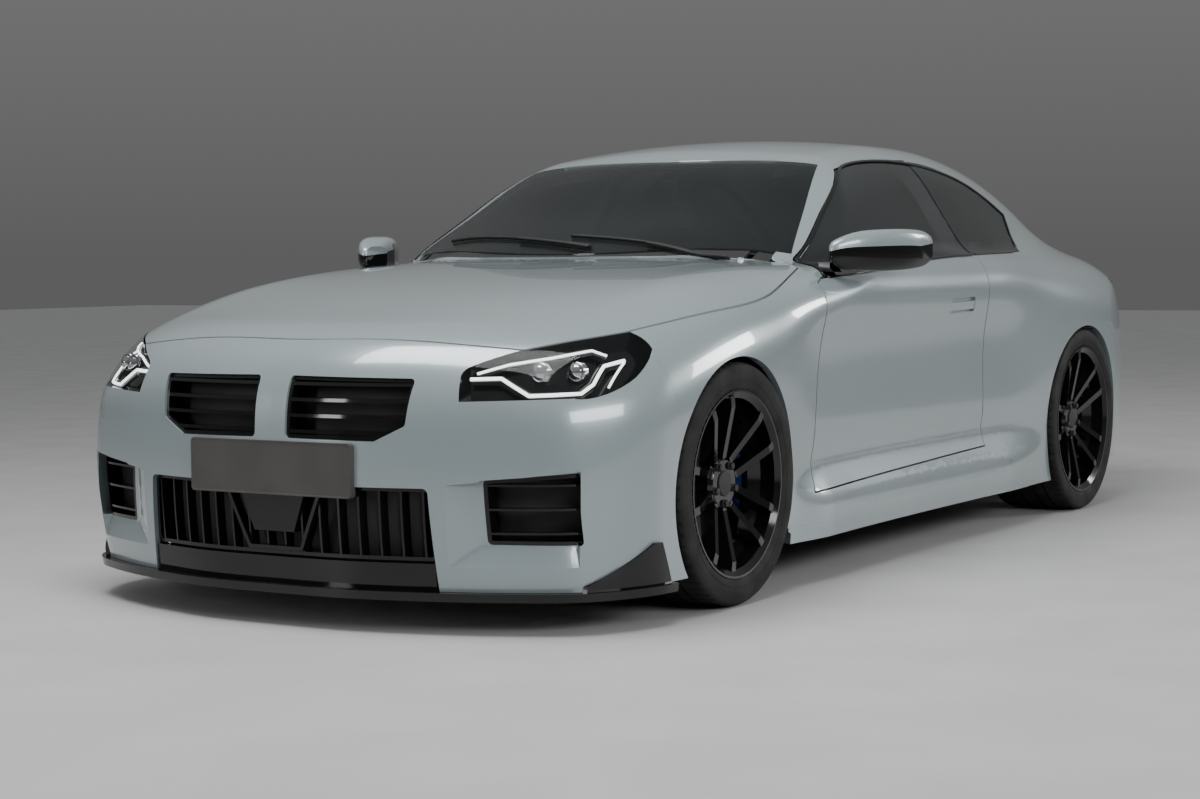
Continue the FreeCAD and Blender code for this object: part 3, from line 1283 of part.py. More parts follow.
# Hinges of the doors, bonnet and boot lid
def make_door_hinges():
    pieces = []
    inner = WIDE * post_shares[3] + seat_gap
    for z in hinge_heights:
        eye = Vector(hinge_x, hinge_y, z)
        pin = rod(hinge_pin, eye - UP * barrel_half * 2, eye + UP * barrel_half * 2)
        leaves = []
        for low, high in ((z - barrel_half * 2, z - barrel_half - 2), (z + barrel_half + 2, z + barrel_half * 2)):
            leaves.append(box(hinge_x - hinge_pin - 1, hinge_x + hinge_pin + 1, inner, hinge_y, low, high))
        pieces.append(joined([pin] + leaves))
    return Part.makeCompound(pieces + [mirrored(piece) for piece in pieces])


def bonnet_hinge():
    return Vector(bonnet_hinge_shares[0] * LONG, 0, bonnet_hinge_shares[1] * HIGH)


def lid_hinge():
    x = lid_hinge_shares[0] * LONG
    return Vector(x, 0, height_at(x, WIDE * lid_hinge_shares[1]) - float(lid_hinge_depth))


def bonnet_arms():
    at = bonnet_hinge()
    half = float(arm_wall)
    arms = []
    for side in (1, -1):
        y = side * WIDE * bonnet_hinge_shares[2]
        eye = at + Vector(0, y, 0)
        tip = at.x + float(arm_reach)
        bar = box(at.x, tip, y - half, y + half, at.z - half * 3 / 2, at.z + half / 2)
        rise = box(tip - arm_wall * 3, tip, y - half, y + half, at.z, at.z + arm_rise)
        arm = joined([bar, rod(lid_pin * 2, eye - SIDE * half, eye + SIDE * half), rise])
        arms.append(arm.cut(rod(lid_pin + seat_gap, eye - SIDE * half * 3, eye + SIDE * half * 3)))
    return arms


def lid_lugs():
    at = lid_hinge()
    half = float(arm_wall)
    lugs = []
    for side in (1, -1):
        eye = at + Vector(0, side * WIDE * lid_hinge_shares[1], 0)
        bar = box(at.x - lug_reach, at.x, eye.y - half, eye.y + half, at.z - lid_pin * 3 / 2, at.z + lid_pin)
        lug = joined([rod(lid_pin * 3 / 2, eye - SIDE * half, eye + SIDE * half), bar])
        lugs.append(lug.cut(rod(lid_pin + seat_gap, eye - SIDE * half * 3, eye + SIDE * half * 3)))
    return lugs


# Pin through an eye and the post that carries it, on both sides
def pin_and_post(at, y, foot):
    half = float(arm_wall)
    eye = at + Vector(0, y, 0)
    pin = rod(lid_pin, eye - SIDE * half * 2, eye + SIDE * half * 3)
    post = box(at.x - lid_pin - 1, at.x + lid_pin + 1, y + half + 2, y + half * 3, foot, at.z + lid_pin + 1)
    piece = joined([pin, post])
    return [piece, mirrored(piece)]


def make_panel_hinges():
    pieces = pin_and_post(bonnet_hinge(), WIDE * bonnet_hinge_shares[2], HIGH * post_shares[5] + seat_gap)
    shelf_top = HIGH * shelf_shares[5] + seat_gap
    return Part.makeCompound(pieces + pin_and_post(lid_hinge(), WIDE * lid_hinge_shares[1], shelf_top))


# Fuel flap on the right, with its eye, pin and leaves just under the skin
flap_x = LONG * flap_shares[0]
flap_z = HIGH * flap_shares[1]


def flap_disc(radius):
    return Part.makeCylinder(float(radius), far, Vector(flap_x, 0, flap_z), Vector(0, 1, 0))


def flap_hinge():
    x = flap_x + float(flap_radius - flap_edge)
    return Vector(x, width_at(x, flap_z) - float(flap_thickness), flap_z)


# A piece of the flap's hinge leant over with the skin
def leant(shape):
    eye = flap_hinge()
    rise = float(flap_radius) / 2
    fall = width_at(eye.x, eye.z - rise) - width_at(eye.x, eye.z + rise)
    made = shape.copy()
    made.rotate(eye, Vector(1, 0, 0), math.degrees(math.atan2(fall, rise * 2)))
    return made


def make_flap():
    eye = flap_hinge()
    half = float(flap_eye)
    tools = [rod(flap_pin + seat_gap, eye - UP * half * 3, eye + UP * half * 3)]
    for way in (1, -1):
        low, high = sorted((flap_z + way * (half + 1), flap_z + way * half * 2))
        tools.append(box(eye.x - half / 2, flap_x + flap_radius * 2, 0, eye.y + flap_thickness / 2, low, high))
    disc = main_solid(slab(flank_rays, 0, flap_thickness).common(flap_disc(flap_radius)))
    shape = joined([disc, leant(rod(flap_thickness / 2, eye - UP * half, eye + UP * half))])
    return mirrored(main_solid(cut_by(shape, [leant(tool) for tool in tools])))


def flap_pocket():
    return mirrored(slab(flank_rays, -overrun, flap_pocket_depth).common(flap_disc(flap_radius + shut_gap)))


def make_flap_hinge():
    eye = flap_hinge()
    half = float(flap_eye)
    inner = width_at(eye.x, flap_z) - float(flap_pocket_depth - seat_gap * 3)
    grip = float(flap_pin) + seat_gap * 2
    pieces = [rod(flap_pin, eye - UP * half * 2, eye + UP * half * 2)]
    for way in (1, -1):
        low, high = sorted((flap_z + way * (half + 2), flap_z + way * (half * 2 - 1)))
        pieces.append(rod(grip, Vector(eye.x, eye.y, low), Vector(eye.x, eye.y, high)))
        pieces.append(box(eye.x - grip, eye.x + grip, inner, eye.y, low, high))
    return mirrored(joined([leant(piece) for piece in pieces]))


# Origin plane of a body by its role
def plane_of(body, role):
    return [item for item in body.Origin.OriginFeatures if item.Role == role][0]


# Closed sketch of straight lines whose corners are bound to the sheet
def corner_sketch(body, name, role, corners):
    sketch = body.newObject("Sketcher::SketchObject", name)
    sketch.AttachmentSupport = [(plane_of(body, role), "")]
    sketch.MapMode = "FlatFace"
    count = len(corners)
    for i in range(count):
        a, b = corners[i], corners[(i + 1) % count]
        start = Vector(float(a[0]), float(a[1]), 0)
        end = Vector(float(b[0]), float(b[1]), 0)
        sketch.addGeometry(Part.LineSegment(start, end), False)
    for i in range(count):
        sketch.addConstraint(Sketcher.Constraint("Coincident", i, 2, (i + 1) % count, 1))
    for i in range(count):
        for kind, place in (("DistanceX", corners[i][0]), ("DistanceY", corners[i][1])):
            index = sketch.addConstraint(Sketcher.Constraint(kind, -1, 1, i, 1, float(place)))
            if hasattr(place, "text"):
                sketch.setExpression(f"Constraints[{index}]", place.text)
    return sketch


def turn(body, name, kind, corners):
    sketch = corner_sketch(body, name + "_section", "XZ_Plane", corners)
    feature = body.newObject(kind, name)
    feature.Profile = sketch
    feature.ReferenceAxis = (sketch, ["V_Axis"])
    feature.Angle = 360
    return feature


def raise_pad(body, name, corners, length):
    sketch = corner_sketch(body, name + "_section", "XY_Plane", corners)
    pad = body.newObject("PartDesign::Pad", name)
    pad.Profile = sketch
    bind(pad, "Length", length)
    return pad


# Stand a wheel piece on its axle, its own Z away from the car, and keep it
def finish_wheel_piece(item, name, axle, side):
    doc.recompute()
    way = 1 if side == "left" else -1
    spot = Vector(float(axle_places[axle]), way * float(hub_places[axle]), float(hub_heights[axle]))
    item.Placement = FreeCAD.Placement(spot, FreeCAD.Rotation(Vector(1, 0, 0), -90 * way))
    item.Label = name
    sub_parts[name] = item


tyre_shoulder_shares = (1.6, 0.35, 1.1, 3.0)
tyre_bead_shares = (1.4, 2.4)


# Tyre section: bead, wall, shoulder and tread, hollow inside
def make_tyre(axle, side):
    name = f"tyre_{axle}_{side}"
    body = doc.addObject("PartDesign::Body", name)
    outer, inner = tyre_radii[axle], rim_radii[axle]
    half = tyre_widths[axle] / 2
    bead = inner - rim_lip + seat_gap
    wall_top, tread_drop, shoulder, tread = [tyre_wall * share for share in tyre_shoulder_shares]
    bead_edge, inside = [tyre_wall * share for share in tyre_bead_shares]
    corners = [(bead, -half + bead_edge), (inner + tyre_wall, -half), (outer - wall_top, -half),
               (outer - tread_drop, -half + shoulder), (outer, -half + tread), (outer, half - tread),
               (outer - tread_drop, half - shoulder), (outer - wall_top, half), (inner + tyre_wall, half),
               (bead, half - bead_edge), (bead, half - inside), (outer - tyre_wall, half - inside),
               (outer - tyre_wall, -half + inside), (bead, -half + inside)]
    turn(body, "casing", "PartDesign::Revolution", corners)
    finish_wheel_piece(body, name, axle, side)


# Rim: barrel and hub turned, five pairs of spokes padded and patterned, then dished front and back
def make_rim(axle, side):
    name = f"rim_{axle}_{side}"
    body = doc.addObject("PartDesign::Body", name)
    rim = rim_radii[axle]
    bead = rim - rim_lip
    edge = tyre_widths[axle] / 2 - rim_inset
    lip = edge - flange_width
    seat_start = lip - flange_width / 2
    seat_end = seat_start - bead_seat
    well_end = seat_end - well_slope
    inner = bead - rim_wall
    half_wall = rim_wall / 2
    corners = [(rim, edge), (rim, lip), (bead, seat_start), (bead, seat_end), (bead - rim_well, well_end)]
    corners += [(radius, -height) for radius, height in reversed(corners)]
    inside = [(rim - rim_inset, edge), (inner, seat_start), (inner, seat_end - half_wall), (inner - rim_well, well_end - half_wall)]
    corners += [(radius, -height) for radius, height in inside] + list(reversed(inside))
    turn(body, "barrel", "PartDesign::Revolution", corners)
    face = edge - hub_sink
    back = face - hub_depth
    hub = [(hub_bore, back), (hub_radius, back), (hub_radius, face - hub_round), (hub_radius - hub_round, face), (hub_bore, face)]
    turn(body, "hub", "PartDesign::Revolution", hub)
    tip = bead - rim_wall * tip_wall_share
    root = hub_radius - hub_round
    near, wide = spoke_gap / 2, spoke_tip_gap / 2
    spokes = []
    for way in (1, -1):
        corners = [(root, near * way), (tip * spoke_end_shares[0], wide * way), (tip * spoke_end_shares[1], (wide + spoke_width) * way),
                   (root, (near + spoke_width) * way)]
        spokes.append(raise_pad(body, "spoke_one" if way == 1 else "spoke_two", corners, lip))
    doc.recompute()
    pattern = body.newObject("PartDesign::PolarPattern", "spokes")
    pattern.Originals = spokes
    pattern.Axis = (plane_of(body, "Z_Axis"), [""])
    pattern.Angle = 360
    pattern.Occurrences = 5
    body.Tip = pattern
    doc.recompute()
    front = [(hub_bore, face), (hub_radius, face - seat_gap), (tip - rim_lip * 2, lip), (tip - rim_inset, edge - rim_inset / 2),
             (tip + rim_inset / 3, edge * 2), (hub_bore, edge * 2)]
    turn(body, "dish", "PartDesign::Groove", front)
    doc.recompute()
    shallow = lip - spoke_depth
    back_face = [(hub_bore, back), (hub_radius, back), (hub_radius + hub_round * 2, back + flange_width), (tip - bead_seat, shallow),
                 (inner - rim_well, shallow - rim_lip), (inner - rim_well, -edge), (hub_bore, -edge)]
    turn(body, "hollow", "PartDesign::Groove", back_face)
    finish_wheel_piece(body, name, axle, side)


bell_shares = (1.05, 1.15, 0.9)


def make_disc(axle, side):
    name = f"brake_disc_{axle}_{side}"
    body = doc.addObject("PartDesign::Body", name)
    face = disc_face(axle) - hub_places[axle]
    ring = face - bell_depth
    top, foot, inside = [hub_radius * share for share in bell_shares]
    radius = disc_radii[axle]
    corners = [(hub_bore, face), (top, face), (foot, ring), (radius, ring), (radius, ring - disc_thickness),
               (hub_radius, ring - disc_thickness), (inside, face - flange_width), (hub_bore, face - flange_width)]
    turn(body, "disc", "PartDesign::Revolution", corners)
    finish_wheel_piece(body, name, axle, side)


# Build and keep every piece
flank = make_flank()
keep("side_frame_left", flank)
keep("side_frame_right", mirrored(flank).cut(flap_pocket()))
keep_pair("front_fender", make_fender())
keep("bonnet", joined([make_bonnet()] + bonnet_arms()))
keep("front_bumper", make_front_bumper())
keep("headlamps", make_headlamps())
keep("front_splitter", make_splitter())
keep("front_grilles", make_grilles())
keep("rear_bumper", make_rear_bumper())
keep("tail_lamps", make_tail_lamps())
keep("rear_diffuser", make_diffuser())
keep("exhaust", make_exhaust())
keep("boot_lid", joined([make_lid()] + lid_lugs()))
keep("roof_panel", make_roof())
keep("windscreen", make_glass(screen_rays, screen_outline, [roof_outline]))
keep("rear_window", make_glass(rear_window_rays, rear_window_outline, [roof_outline, lid_outline]))
keep_pair("door", make_door())
keep_pair("door_glass", make_door_glass())
keep("quarter_glass", make_quarter_glass())
keep_pair("mirror", make_mirror())
keep("floor_pan", make_floor())
keep("engine", make_engine())
keep("wheel_liners", make_liners())
keep("front_suspension", both(make_front_suspension()))
keep_pair("knuckle_front", make_knuckle())
keep_pair("caliper_front", make_caliper("front"))
keep("rear_calipers", both(make_caliper("rear")))
keep("rear_suspension", make_rear_suspension())
keep("dashboard", make_dashboard())
keep("steering_wheel", make_steering_wheel())
keep("front_seats", make_front_seats())
keep("rear_bench", make_rear_bench())
keep("inner_mirror", make_inner_mirror())
keep("cowl", make_cowl())
keep("door_hinges", make_door_hinges())
keep("panel_hinges", make_panel_hinges())
keep("fuel_flap", make_flap())
keep("fuel_flap_hinge", make_flap_hinge())


for axle in ("front", "rear"):
    for side in ("left", "right"):
        make_tyre(axle, side)
        make_rim(axle, side)
        make_disc(axle, side)

doc.recompute()


# Stop if any piece failed, then write each one
def check_and_write():
    for item in doc.Objects:
        if "Invalid" in item.State or "Error" in item.State:
            raise RuntimeError(f"{item.Name} did not build: {item.State}")
    os.makedirs("parts", exist_ok=True)
    for name, item in sub_parts.items():
        shape = item.Shape
        if shape.isNull() or not shape.isValid():
            raise RuntimeError(f"{name} is not a valid shape")
    for name, item in sub_parts.items():
        item.Shape.exportStep(f"parts/{name}.step")
        print(name, len(item.Shape.Solids), round(item.Shape.Volume / 1000000, 3))


check_and_write()
print("bonnet hinge", bonnet_hinge(), "lid hinge", lid_hinge(), "door hinge", hinge_x, hinge_y, "flap", flap_hinge())
print("steering", steering_centre(), steering_way(), "kingpin", FRONT_X, float(kingpin_y))
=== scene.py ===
import math

import bmesh
import bpy
import numpy as np
from mathutils import Matrix, Vector


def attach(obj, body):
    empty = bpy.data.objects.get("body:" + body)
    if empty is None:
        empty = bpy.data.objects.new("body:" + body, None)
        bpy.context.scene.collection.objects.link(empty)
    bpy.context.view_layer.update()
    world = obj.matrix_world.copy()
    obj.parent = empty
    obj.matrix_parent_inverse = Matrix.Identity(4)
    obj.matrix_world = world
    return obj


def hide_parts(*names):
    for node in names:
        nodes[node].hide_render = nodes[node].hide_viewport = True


# A two-door coupe in metres: nose to +X, left side to +Y, ground at Z = 0

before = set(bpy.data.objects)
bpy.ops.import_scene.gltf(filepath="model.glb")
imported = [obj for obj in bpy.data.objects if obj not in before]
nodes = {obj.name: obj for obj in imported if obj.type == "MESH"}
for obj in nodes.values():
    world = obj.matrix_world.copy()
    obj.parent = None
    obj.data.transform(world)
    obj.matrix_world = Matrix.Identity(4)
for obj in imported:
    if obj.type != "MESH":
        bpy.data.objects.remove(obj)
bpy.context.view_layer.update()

# Overall sizes of the body
LONG = 2.300
WIDE = 0.943
HIGH = 1.370

# Colours
PAINT = (0.262, 0.312, 0.325)
PAINT_SHADE = (0.249, 0.299, 0.313)
GLOSS_BLACK = (0.0025, 0.0025, 0.003)
SOFT_BLACK = (0.006, 0.006, 0.006)
WORN_BLACK = (0.014, 0.014, 0.014)
RUBBER = (0.007, 0.007, 0.007)
RUBBER_DUST = (0.016, 0.015, 0.014)
IRON = (0.30, 0.30, 0.31)
IRON_RUST = (0.20, 0.17, 0.15)
CASTING = (0.060, 0.060, 0.062)
CASTING_DUST = (0.11, 0.105, 0.10)
CALIPER = (0.010, 0.025, 0.115)
CALIPER_SHADE = (0.006, 0.016, 0.080)
CHROME = (0.62, 0.63, 0.64)
CHROME_SHADE = (0.40, 0.41, 0.42)
STEEL = (0.42, 0.42, 0.43)
STEEL_SHADE = (0.26, 0.26, 0.27)
LEATHER = (0.020, 0.020, 0.022)
LEATHER_SHADE = (0.034, 0.033, 0.034)
LIT_WHITE = (0.95, 0.97, 1.0)
LENS_RED = (0.30, 0.004, 0.006)
LENS_RED_SHADE = (0.16, 0.002, 0.003)
LIT_RED = (0.85, 0.03, 0.02)
GLASS = (0.010, 0.013, 0.013)
GLASS_SHADE = (0.014, 0.018, 0.018)
PLATE = (0.045, 0.043, 0.040)
PLATE_SHADE = (0.055, 0.052, 0.048)
FLOOR = (0.42, 0.42, 0.42)
FLOOR_SHADE = (0.46, 0.46, 0.455)


# A smooth curve through a table of shares
def spline(table):
    places = np.array([row[0] for row in table])
    held = np.array([row[1] for row in table])
    count = len(table)
    gaps = np.diff(places)
    rises = np.diff(held) / gaps
    system = np.eye(count)
    change = np.zeros(count)
    for i in range(1, count - 1):
        system[i, i - 1:i + 2] = (gaps[i - 1], 2 * (gaps[i - 1] + gaps[i]), gaps[i])
        change[i] = 6 * (rises[i] - rises[i - 1])
    bends = np.linalg.solve(system, change)

    def value(place):
        place = np.clip(place, places[0], places[-1])
        i = np.clip(np.searchsorted(places, place, side="right") - 1, 0, count - 2)
        step = places[i + 1] - places[i]
        before = (places[i + 1] - place) / step
        after = (place - places[i]) / step
        bow = (before ** 3 - before) * bends[i] + (after ** 3 - after) * bends[i + 1]
        return before * held[i] + after * held[i + 1] + bow * step * step / 6

    return value


# Shares of the length, width and height that shape the body, as in the part's own source
plan_shares = spline([(-1.05, 0.915), (-1.0, 0.930), (-0.87, 0.968), (-0.74, 0.990), (-0.575, 1.0),
                      (-0.39, 0.976), (-0.217, 0.954), (0.0, 0.947), (0.217, 0.951), (0.435, 0.972),
                      (0.619, 1.0), (0.783, 0.988), (0.90, 0.965), (1.05, 0.940)])
door_shares = spline([(0.05, 0.004), (0.096, 0.018), (0.150, 0.030), (0.195, 0.020), (0.225, -0.002),
                      (0.30, -0.009), (0.41, -0.0115), (0.54, -0.004), (0.62, 0.006), (0.657, -0.010),
                      (0.693, -0.048), (0.76, -0.13), (0.90, -0.32)])
wing_shares = spline([(0.05, -0.030), (0.10, -0.022), (0.20, -0.012), (0.35, -0.004), (0.50, 0.0),
                      (0.56, -0.002), (0.62, -0.012), (0.70, -0.05), (0.90, -0.25)])
top_shares = spline([(-1.05, 0.716), (-0.957, 0.720), (-0.87, 0.725), (-0.765, 0.733), (-0.609, 0.722),
                     (-0.435, 0.719), (0.0, 0.719), (0.217, 0.712), (0.378, 0.699), (0.435, 0.6905),
                     (0.522, 0.675), (0.652, 0.648), (0.739, 0.626), (0.826, 0.600), (0.913, 0.5715),
                     (0.961, 0.553), (1.0, 0.5365), (1.05, 0.515)])
fall_shares = spline([(-1.05, 0.120), (-0.957, 0.108), (-0.888, 0.070), (-0.748, 0.030), (-0.609, 0.014),
                      (-0.30, 0.004), (0.0, 0.004), (0.30, 0.018), (0.42, 0.012), (0.652, 0.006),
                      (0.826, 0.026), (0.92, 0.036), (1.05, 0.050)])
shoulder_shares = spline([(-1.05, 0.20), (-0.75, 0.22), (-0.57, 0.22), (-0.25, 0.08), (0.25, 0.07),
                          (0.40, 0.18), (0.55, 0.27), (0.80, 0.26), (1.05, 0.20)])
nose_shares = spline([(0.0, 0.9985), (0.265, 0.994), (0.44, 0.978), (0.624, 0.955), (0.742, 0.935),
                      (0.87, 0.905), (0.95, 0.87), (1.06, 0.80)])
nose_lean_shares = spline([(0.05, 0.012), (0.146, 0.005), (0.29, 0.0), (0.365, 0.001), (0.44, 0.006),
                           (0.482, 0.014), (0.525, 0.024), (0.555, 0.036), (0.60, 0.075), (0.70, 0.20)])
tail_shares = spline([(0.0, -1.0), (0.32, -0.997), (0.55, -0.989), (0.68, -0.974), (0.795, -0.935),
                      (0.90, -0.865), (0.96, -0.80), (1.06, -0.65)])
tail_lean_shares = spline([(0.05, 0.045), (0.146, 0.025), (0.22, 0.006), (0.30, 0.0), (0.44, 0.0),
                           (0.51, 0.008), (0.62, 0.020), (0.70, 0.018), (0.80, 0.018)])
roof_shares = spline([(-1.0, 0.20), (-0.90, 0.44), (-0.82, 0.620), (-0.765, 0.722), (-0.70, 0.808),
                      (-0.61, 0.890), (-0.522, 0.9425), (-0.435, 0.9725), (-0.30, 0.994), (-0.22, 0.997),
                      (-0.152, 0.9965), (-0.087, 0.9905), (0.0, 0.974), (0.087, 0.947), (0.174, 0.910),
                      (0.30, 0.840)])
screen_shares = spline([(0.60, 0.455), (0.70, 0.385), (0.80, 0.260), (0.90, 0.140), (0.93, 0.100), (1.0, 0.010)])
cabin_shares = spline([(-0.80, -0.22), (-0.652, -0.125), (-0.512, -0.072), (-0.443, -0.052), (-0.26, -0.015),
                       (-0.10, -0.010), (0.06, -0.010), (0.174, -0.014), (0.33, -0.048), (0.50, -0.11)])
blend_shares = spline([(-0.85, 0.08), (-0.72, 0.10), (-0.55, 0.10), (-0.40, 0.04), (-0.20, 0.025),
                       (0.20, 0.025), (0.42, 0.020)])
door_zone_shares = (-0.46, -0.24, 0.36, 0.50)
fall_reach_share = 0.72
nose_plan_share = 1.6
roof_crown_share = 0.085
screen_bow_shares = (0.064, 0.21)
belt_shares = (0.8855, 0.691)
cabin_lean_share = 0.64
cabin_foot_share = 0.62
corner_shares = {"nose": 0.14, "tail": 0.12, "rail": 0.13, "screen": 0.05, "foot": 0.04}


def ease(place):
    place = np.clip(place, 0.0, 1.0)
    return place * place * (3 - 2 * place)


# The larger of two numbers, rounded where they cross
def rounded_max(first, second, reach):
    near = np.maximum(reach - np.abs(first - second), 0.0) / reach
    return np.maximum(first, second) + near * near * reach / 4


# Below zero inside the body's skin, zero on it
def skin_level(points):
    x, y, z = points[:, 0], np.abs(points[:, 1]), points[:, 2]
    along, across, up = x / LONG, y / WIDE, z / HIGH
    start, full, fade, end = door_zone_shares
    doors = ease((along - start) / (full - start)) * ease((end - along) / (end - fade))
    section = doors * door_shares(up) + (1 - doors) * wing_shares(up)
    side = WIDE * (plan_shares(along) + section)
    top = HIGH * (top_shares(along) - fall_shares(along) * (across / fall_reach_share) ** 3)
    nose = LONG * (nose_shares(across) - nose_lean_shares(up) * (1 + nose_plan_share * across ** 4))
    tail = LONG * (tail_shares(across) + tail_lean_shares(up))
    low = rounded_max(y - side, z - top, WIDE * shoulder_shares(along))
    low = rounded_max(low, x - nose, WIDE * corner_shares["nose"])
    low = rounded_max(low, tail - x, WIDE * corner_shares["tail"])
    cabin = WIDE * (belt_shares[0] + cabin_shares(along)) - cabin_lean_share * (z - belt_shares[1] * HIGH)
    roof = HIGH * (roof_shares(along) - roof_crown_share * across ** 2)
    screen = LONG * (screen_shares(up) - screen_bow_shares[0] * across ** 2 - screen_bow_shares[1] * across ** 4)
    high = rounded_max(y - cabin, z - roof, WIDE * corner_shares["rail"])
    high = rounded_max(high, x - screen, WIDE * corner_shares["screen"])
    high = rounded_max(high, cabin_foot_share * HIGH - z, WIDE * corner_shares["foot"])
    return -rounded_max(-low, -high, WIDE * blend_shares(along))


# Direction in which the skin faces at each point
probe = 0.0005


def facing(points):
    slope = np.zeros_like(points)
    for axis in range(3):
        step = np.zeros(3)
        step[axis] = probe
        slope[:, axis] = skin_level(points + step) - skin_level(points - step)
    return slope / np.maximum(np.linalg.norm(slope, axis=1, keepdims=True), 1e-9)


# Points where rays leave the skin
halvings = 24
ray_share = 1.4


def leave(starts, way):
    way = np.array(way, float)
    near = np.zeros(len(starts))
    reach = np.full(len(starts), LONG * ray_share)
    for _ in range(halvings):
        middle = (near + reach) / 2
        inside = skin_level(starts + middle[:, None] * way) < 0
        near = np.where(inside, middle, near)
        reach = np.where(inside, reach, middle)
    return starts + ((near + reach) / 2)[:, None] * way


# Points of the skin seen straight from one side; each takes two lists of places
end_focus_share = 0.565
deck_share = 0.3


def from_front(ys, zs):
    return leave(np.column_stack([np.full(len(ys), LONG * end_focus_share), ys, zs]), (1, 0, 0))


def from_behind(ys, zs):
    return leave(np.column_stack([np.full(len(ys), -LONG * end_focus_share), ys, zs]), (-1, 0, 0))


def from_side(xs, zs):
    return leave(np.column_stack([xs, np.zeros(len(xs)), zs]), (0, 1, 0))


def from_above(xs, ys):
    return leave(np.column_stack([xs, ys, np.full(len(xs), HIGH * deck_share)]), (0, 0, 1))


# Even points along a line of corners
def along_line(corners, spacing):
    corners = np.array(corners, float)
    lengths = np.linalg.norm(np.diff(corners, axis=0), axis=1)
    places = np.concatenate([[0.0], np.cumsum(lengths)])
    inner = [np.linspace(a, b, max(int((b - a) / spacing), 1), endpoint=False) for a, b in zip(places, places[1:])]
    stops = np.concatenate(inner + [[places[-1]]])
    return np.column_stack([np.interp(stops, places, corners[:, i]) for i in range(corners.shape[1])])


# Corners rounded off a line
def softened(corners, rounds=3):
    line = np.array(corners, float)
    for _ in range(rounds):
        first = line[:-1] * 0.75 + line[1:] * 0.25
        second = line[:-1] * 0.25 + line[1:] * 0.75
        line = np.vstack([line[:1], np.column_stack([first, second]).reshape(-1, line.shape[1]), line[-1:]])
    return line


# Surfaces
ramp_ends = (0.25, 0.75)
noise_detail = 1.5
bump_detail = 3.0
bump_depth = 0.001
coat_rough = 0.03


def surface(name, colour, shade, grain, rough=(0.3, 0.4), metal=0.0, bump=0.0, bump_scale=100.0, coat=0.0,
            ior=1.5, alpha=1.0, glow=None, glow_power=0.0):
    made = bpy.data.materials.new(name)
    made.use_nodes = True
    tree = made.node_tree
    shader = tree.nodes["Principled BSDF"]
    place = tree.nodes.new("ShaderNodeTexCoord")
    noise = tree.nodes.new("ShaderNodeTexNoise")
    noise.inputs["Scale"].default_value = grain
    noise.inputs["Detail"].default_value = noise_detail
    tree.links.new(place.outputs["Object"], noise.inputs["Vector"])
    ramp = tree.nodes.new("ShaderNodeValToRGB")
    ramp.color_ramp.interpolation = "EASE"
    ramp.color_ramp.elements[0].position = ramp_ends[0]
    ramp.color_ramp.elements[1].position = ramp_ends[1]
    ramp.color_ramp.elements[0].color = (*shade, 1.0)
    ramp.color_ramp.elements[1].color = (*colour, 1.0)
    tree.links.new(noise.outputs["Fac"], ramp.inputs["Fac"])
    tree.links.new(ramp.outputs["Color"], shader.inputs["Base Color"])
    spread = tree.nodes.new("ShaderNodeMapRange")
    spread.inputs["To Min"].default_value = rough[0]
    spread.inputs["To Max"].default_value = rough[1]
    tree.links.new(noise.outputs["Fac"], spread.inputs["Value"])
    tree.links.new(spread.outputs["Result"], shader.inputs["Roughness"])
    if bump:
        fine = tree.nodes.new("ShaderNodeTexNoise")
        fine.inputs["Scale"].default_value = bump_scale
        fine.inputs["Detail"].default_value = bump_detail
        tree.links.new(place.outputs["Object"], fine.inputs["Vector"])
        rise = tree.nodes.new("ShaderNodeBump")
        rise.inputs["Strength"].default_value = bump
        rise.inputs["Distance"].default_value = bump_depth
        tree.links.new(fine.outputs["Fac"], rise.inputs["Height"])
        tree.links.new(rise.outputs["Normal"], shader.inputs["Normal"])
    shader.inputs["Metallic"].default_value = metal
    shader.inputs["IOR"].default_value = ior
    shader.inputs["Coat Weight"].default_value = coat
    shader.inputs["Coat Roughness"].default_value = coat_rough
    shader.inputs["Alpha"].default_value = alpha
    if glow:
        shader.inputs["Emission Color"].default_value = (*glow, 1.0)
        shader.inputs["Emission Strength"].default_value = glow_power
    return made


paint = surface("paint", PAINT, PAINT_SHADE, 1.2, (0.25, 0.28), 0.25, 0.02, 900, 1.0)
gloss_black = surface("gloss_black", GLOSS_BLACK, SOFT_BLACK, 3.0, (0.06, 0.10), 0.0, 0.02, 400, 0.0, 1.45)
soft_black = surface("soft_black", SOFT_BLACK, WORN_BLACK, 6.0, (0.55, 0.75), 0.0, 0.25, 900)
cabin_black = surface("cabin_black", SOFT_BLACK, WORN_BLACK, 9.0, (0.5, 0.7), 0.0, 0.3, 700)
rubber = surface("rubber", RUBBER, RUBBER_DUST, 14.0, (0.62, 0.85), 0.0, 0.25, 600, ior=1.35)
iron = surface("iron", IRON, IRON_RUST, 22.0, (0.28, 0.45), 0.9, 0.15, 500)
casting = surface("casting", CASTING, CASTING_DUST, 18.0, (0.5, 0.75), 0.5, 0.5, 260)
caliper_blue = surface("caliper_blue", CALIPER, CALIPER_SHADE, 12.0, (0.2, 0.3), 0.2, 0.05, 300, 0.8)
chrome = surface("chrome", CHROME, CHROME_SHADE, 8.0, (0.08, 0.16), 1.0)
steel = surface("steel", STEEL, STEEL_SHADE, 14.0, (0.22, 0.34), 1.0, 0.08, 500)
leather = surface("leather", LEATHER, LEATHER_SHADE, 30.0, (0.45, 0.62), 0.0, 0.45, 420)
window_glass = surface("window_glass", GLASS, GLASS_SHADE, 2.0, (0.02, 0.04), 0.0, ior=1.6, alpha=0.72)
screen_glass = surface("screen_glass", GLASS, GLASS_SHADE, 2.0, (0.02, 0.04), 0.0, ior=1.45, alpha=0.5)
lamp_glass = surface("lamp_glass", GLASS, GLASS_SHADE, 2.0, (0.02, 0.04), 0.0, ior=1.8, alpha=0.16)
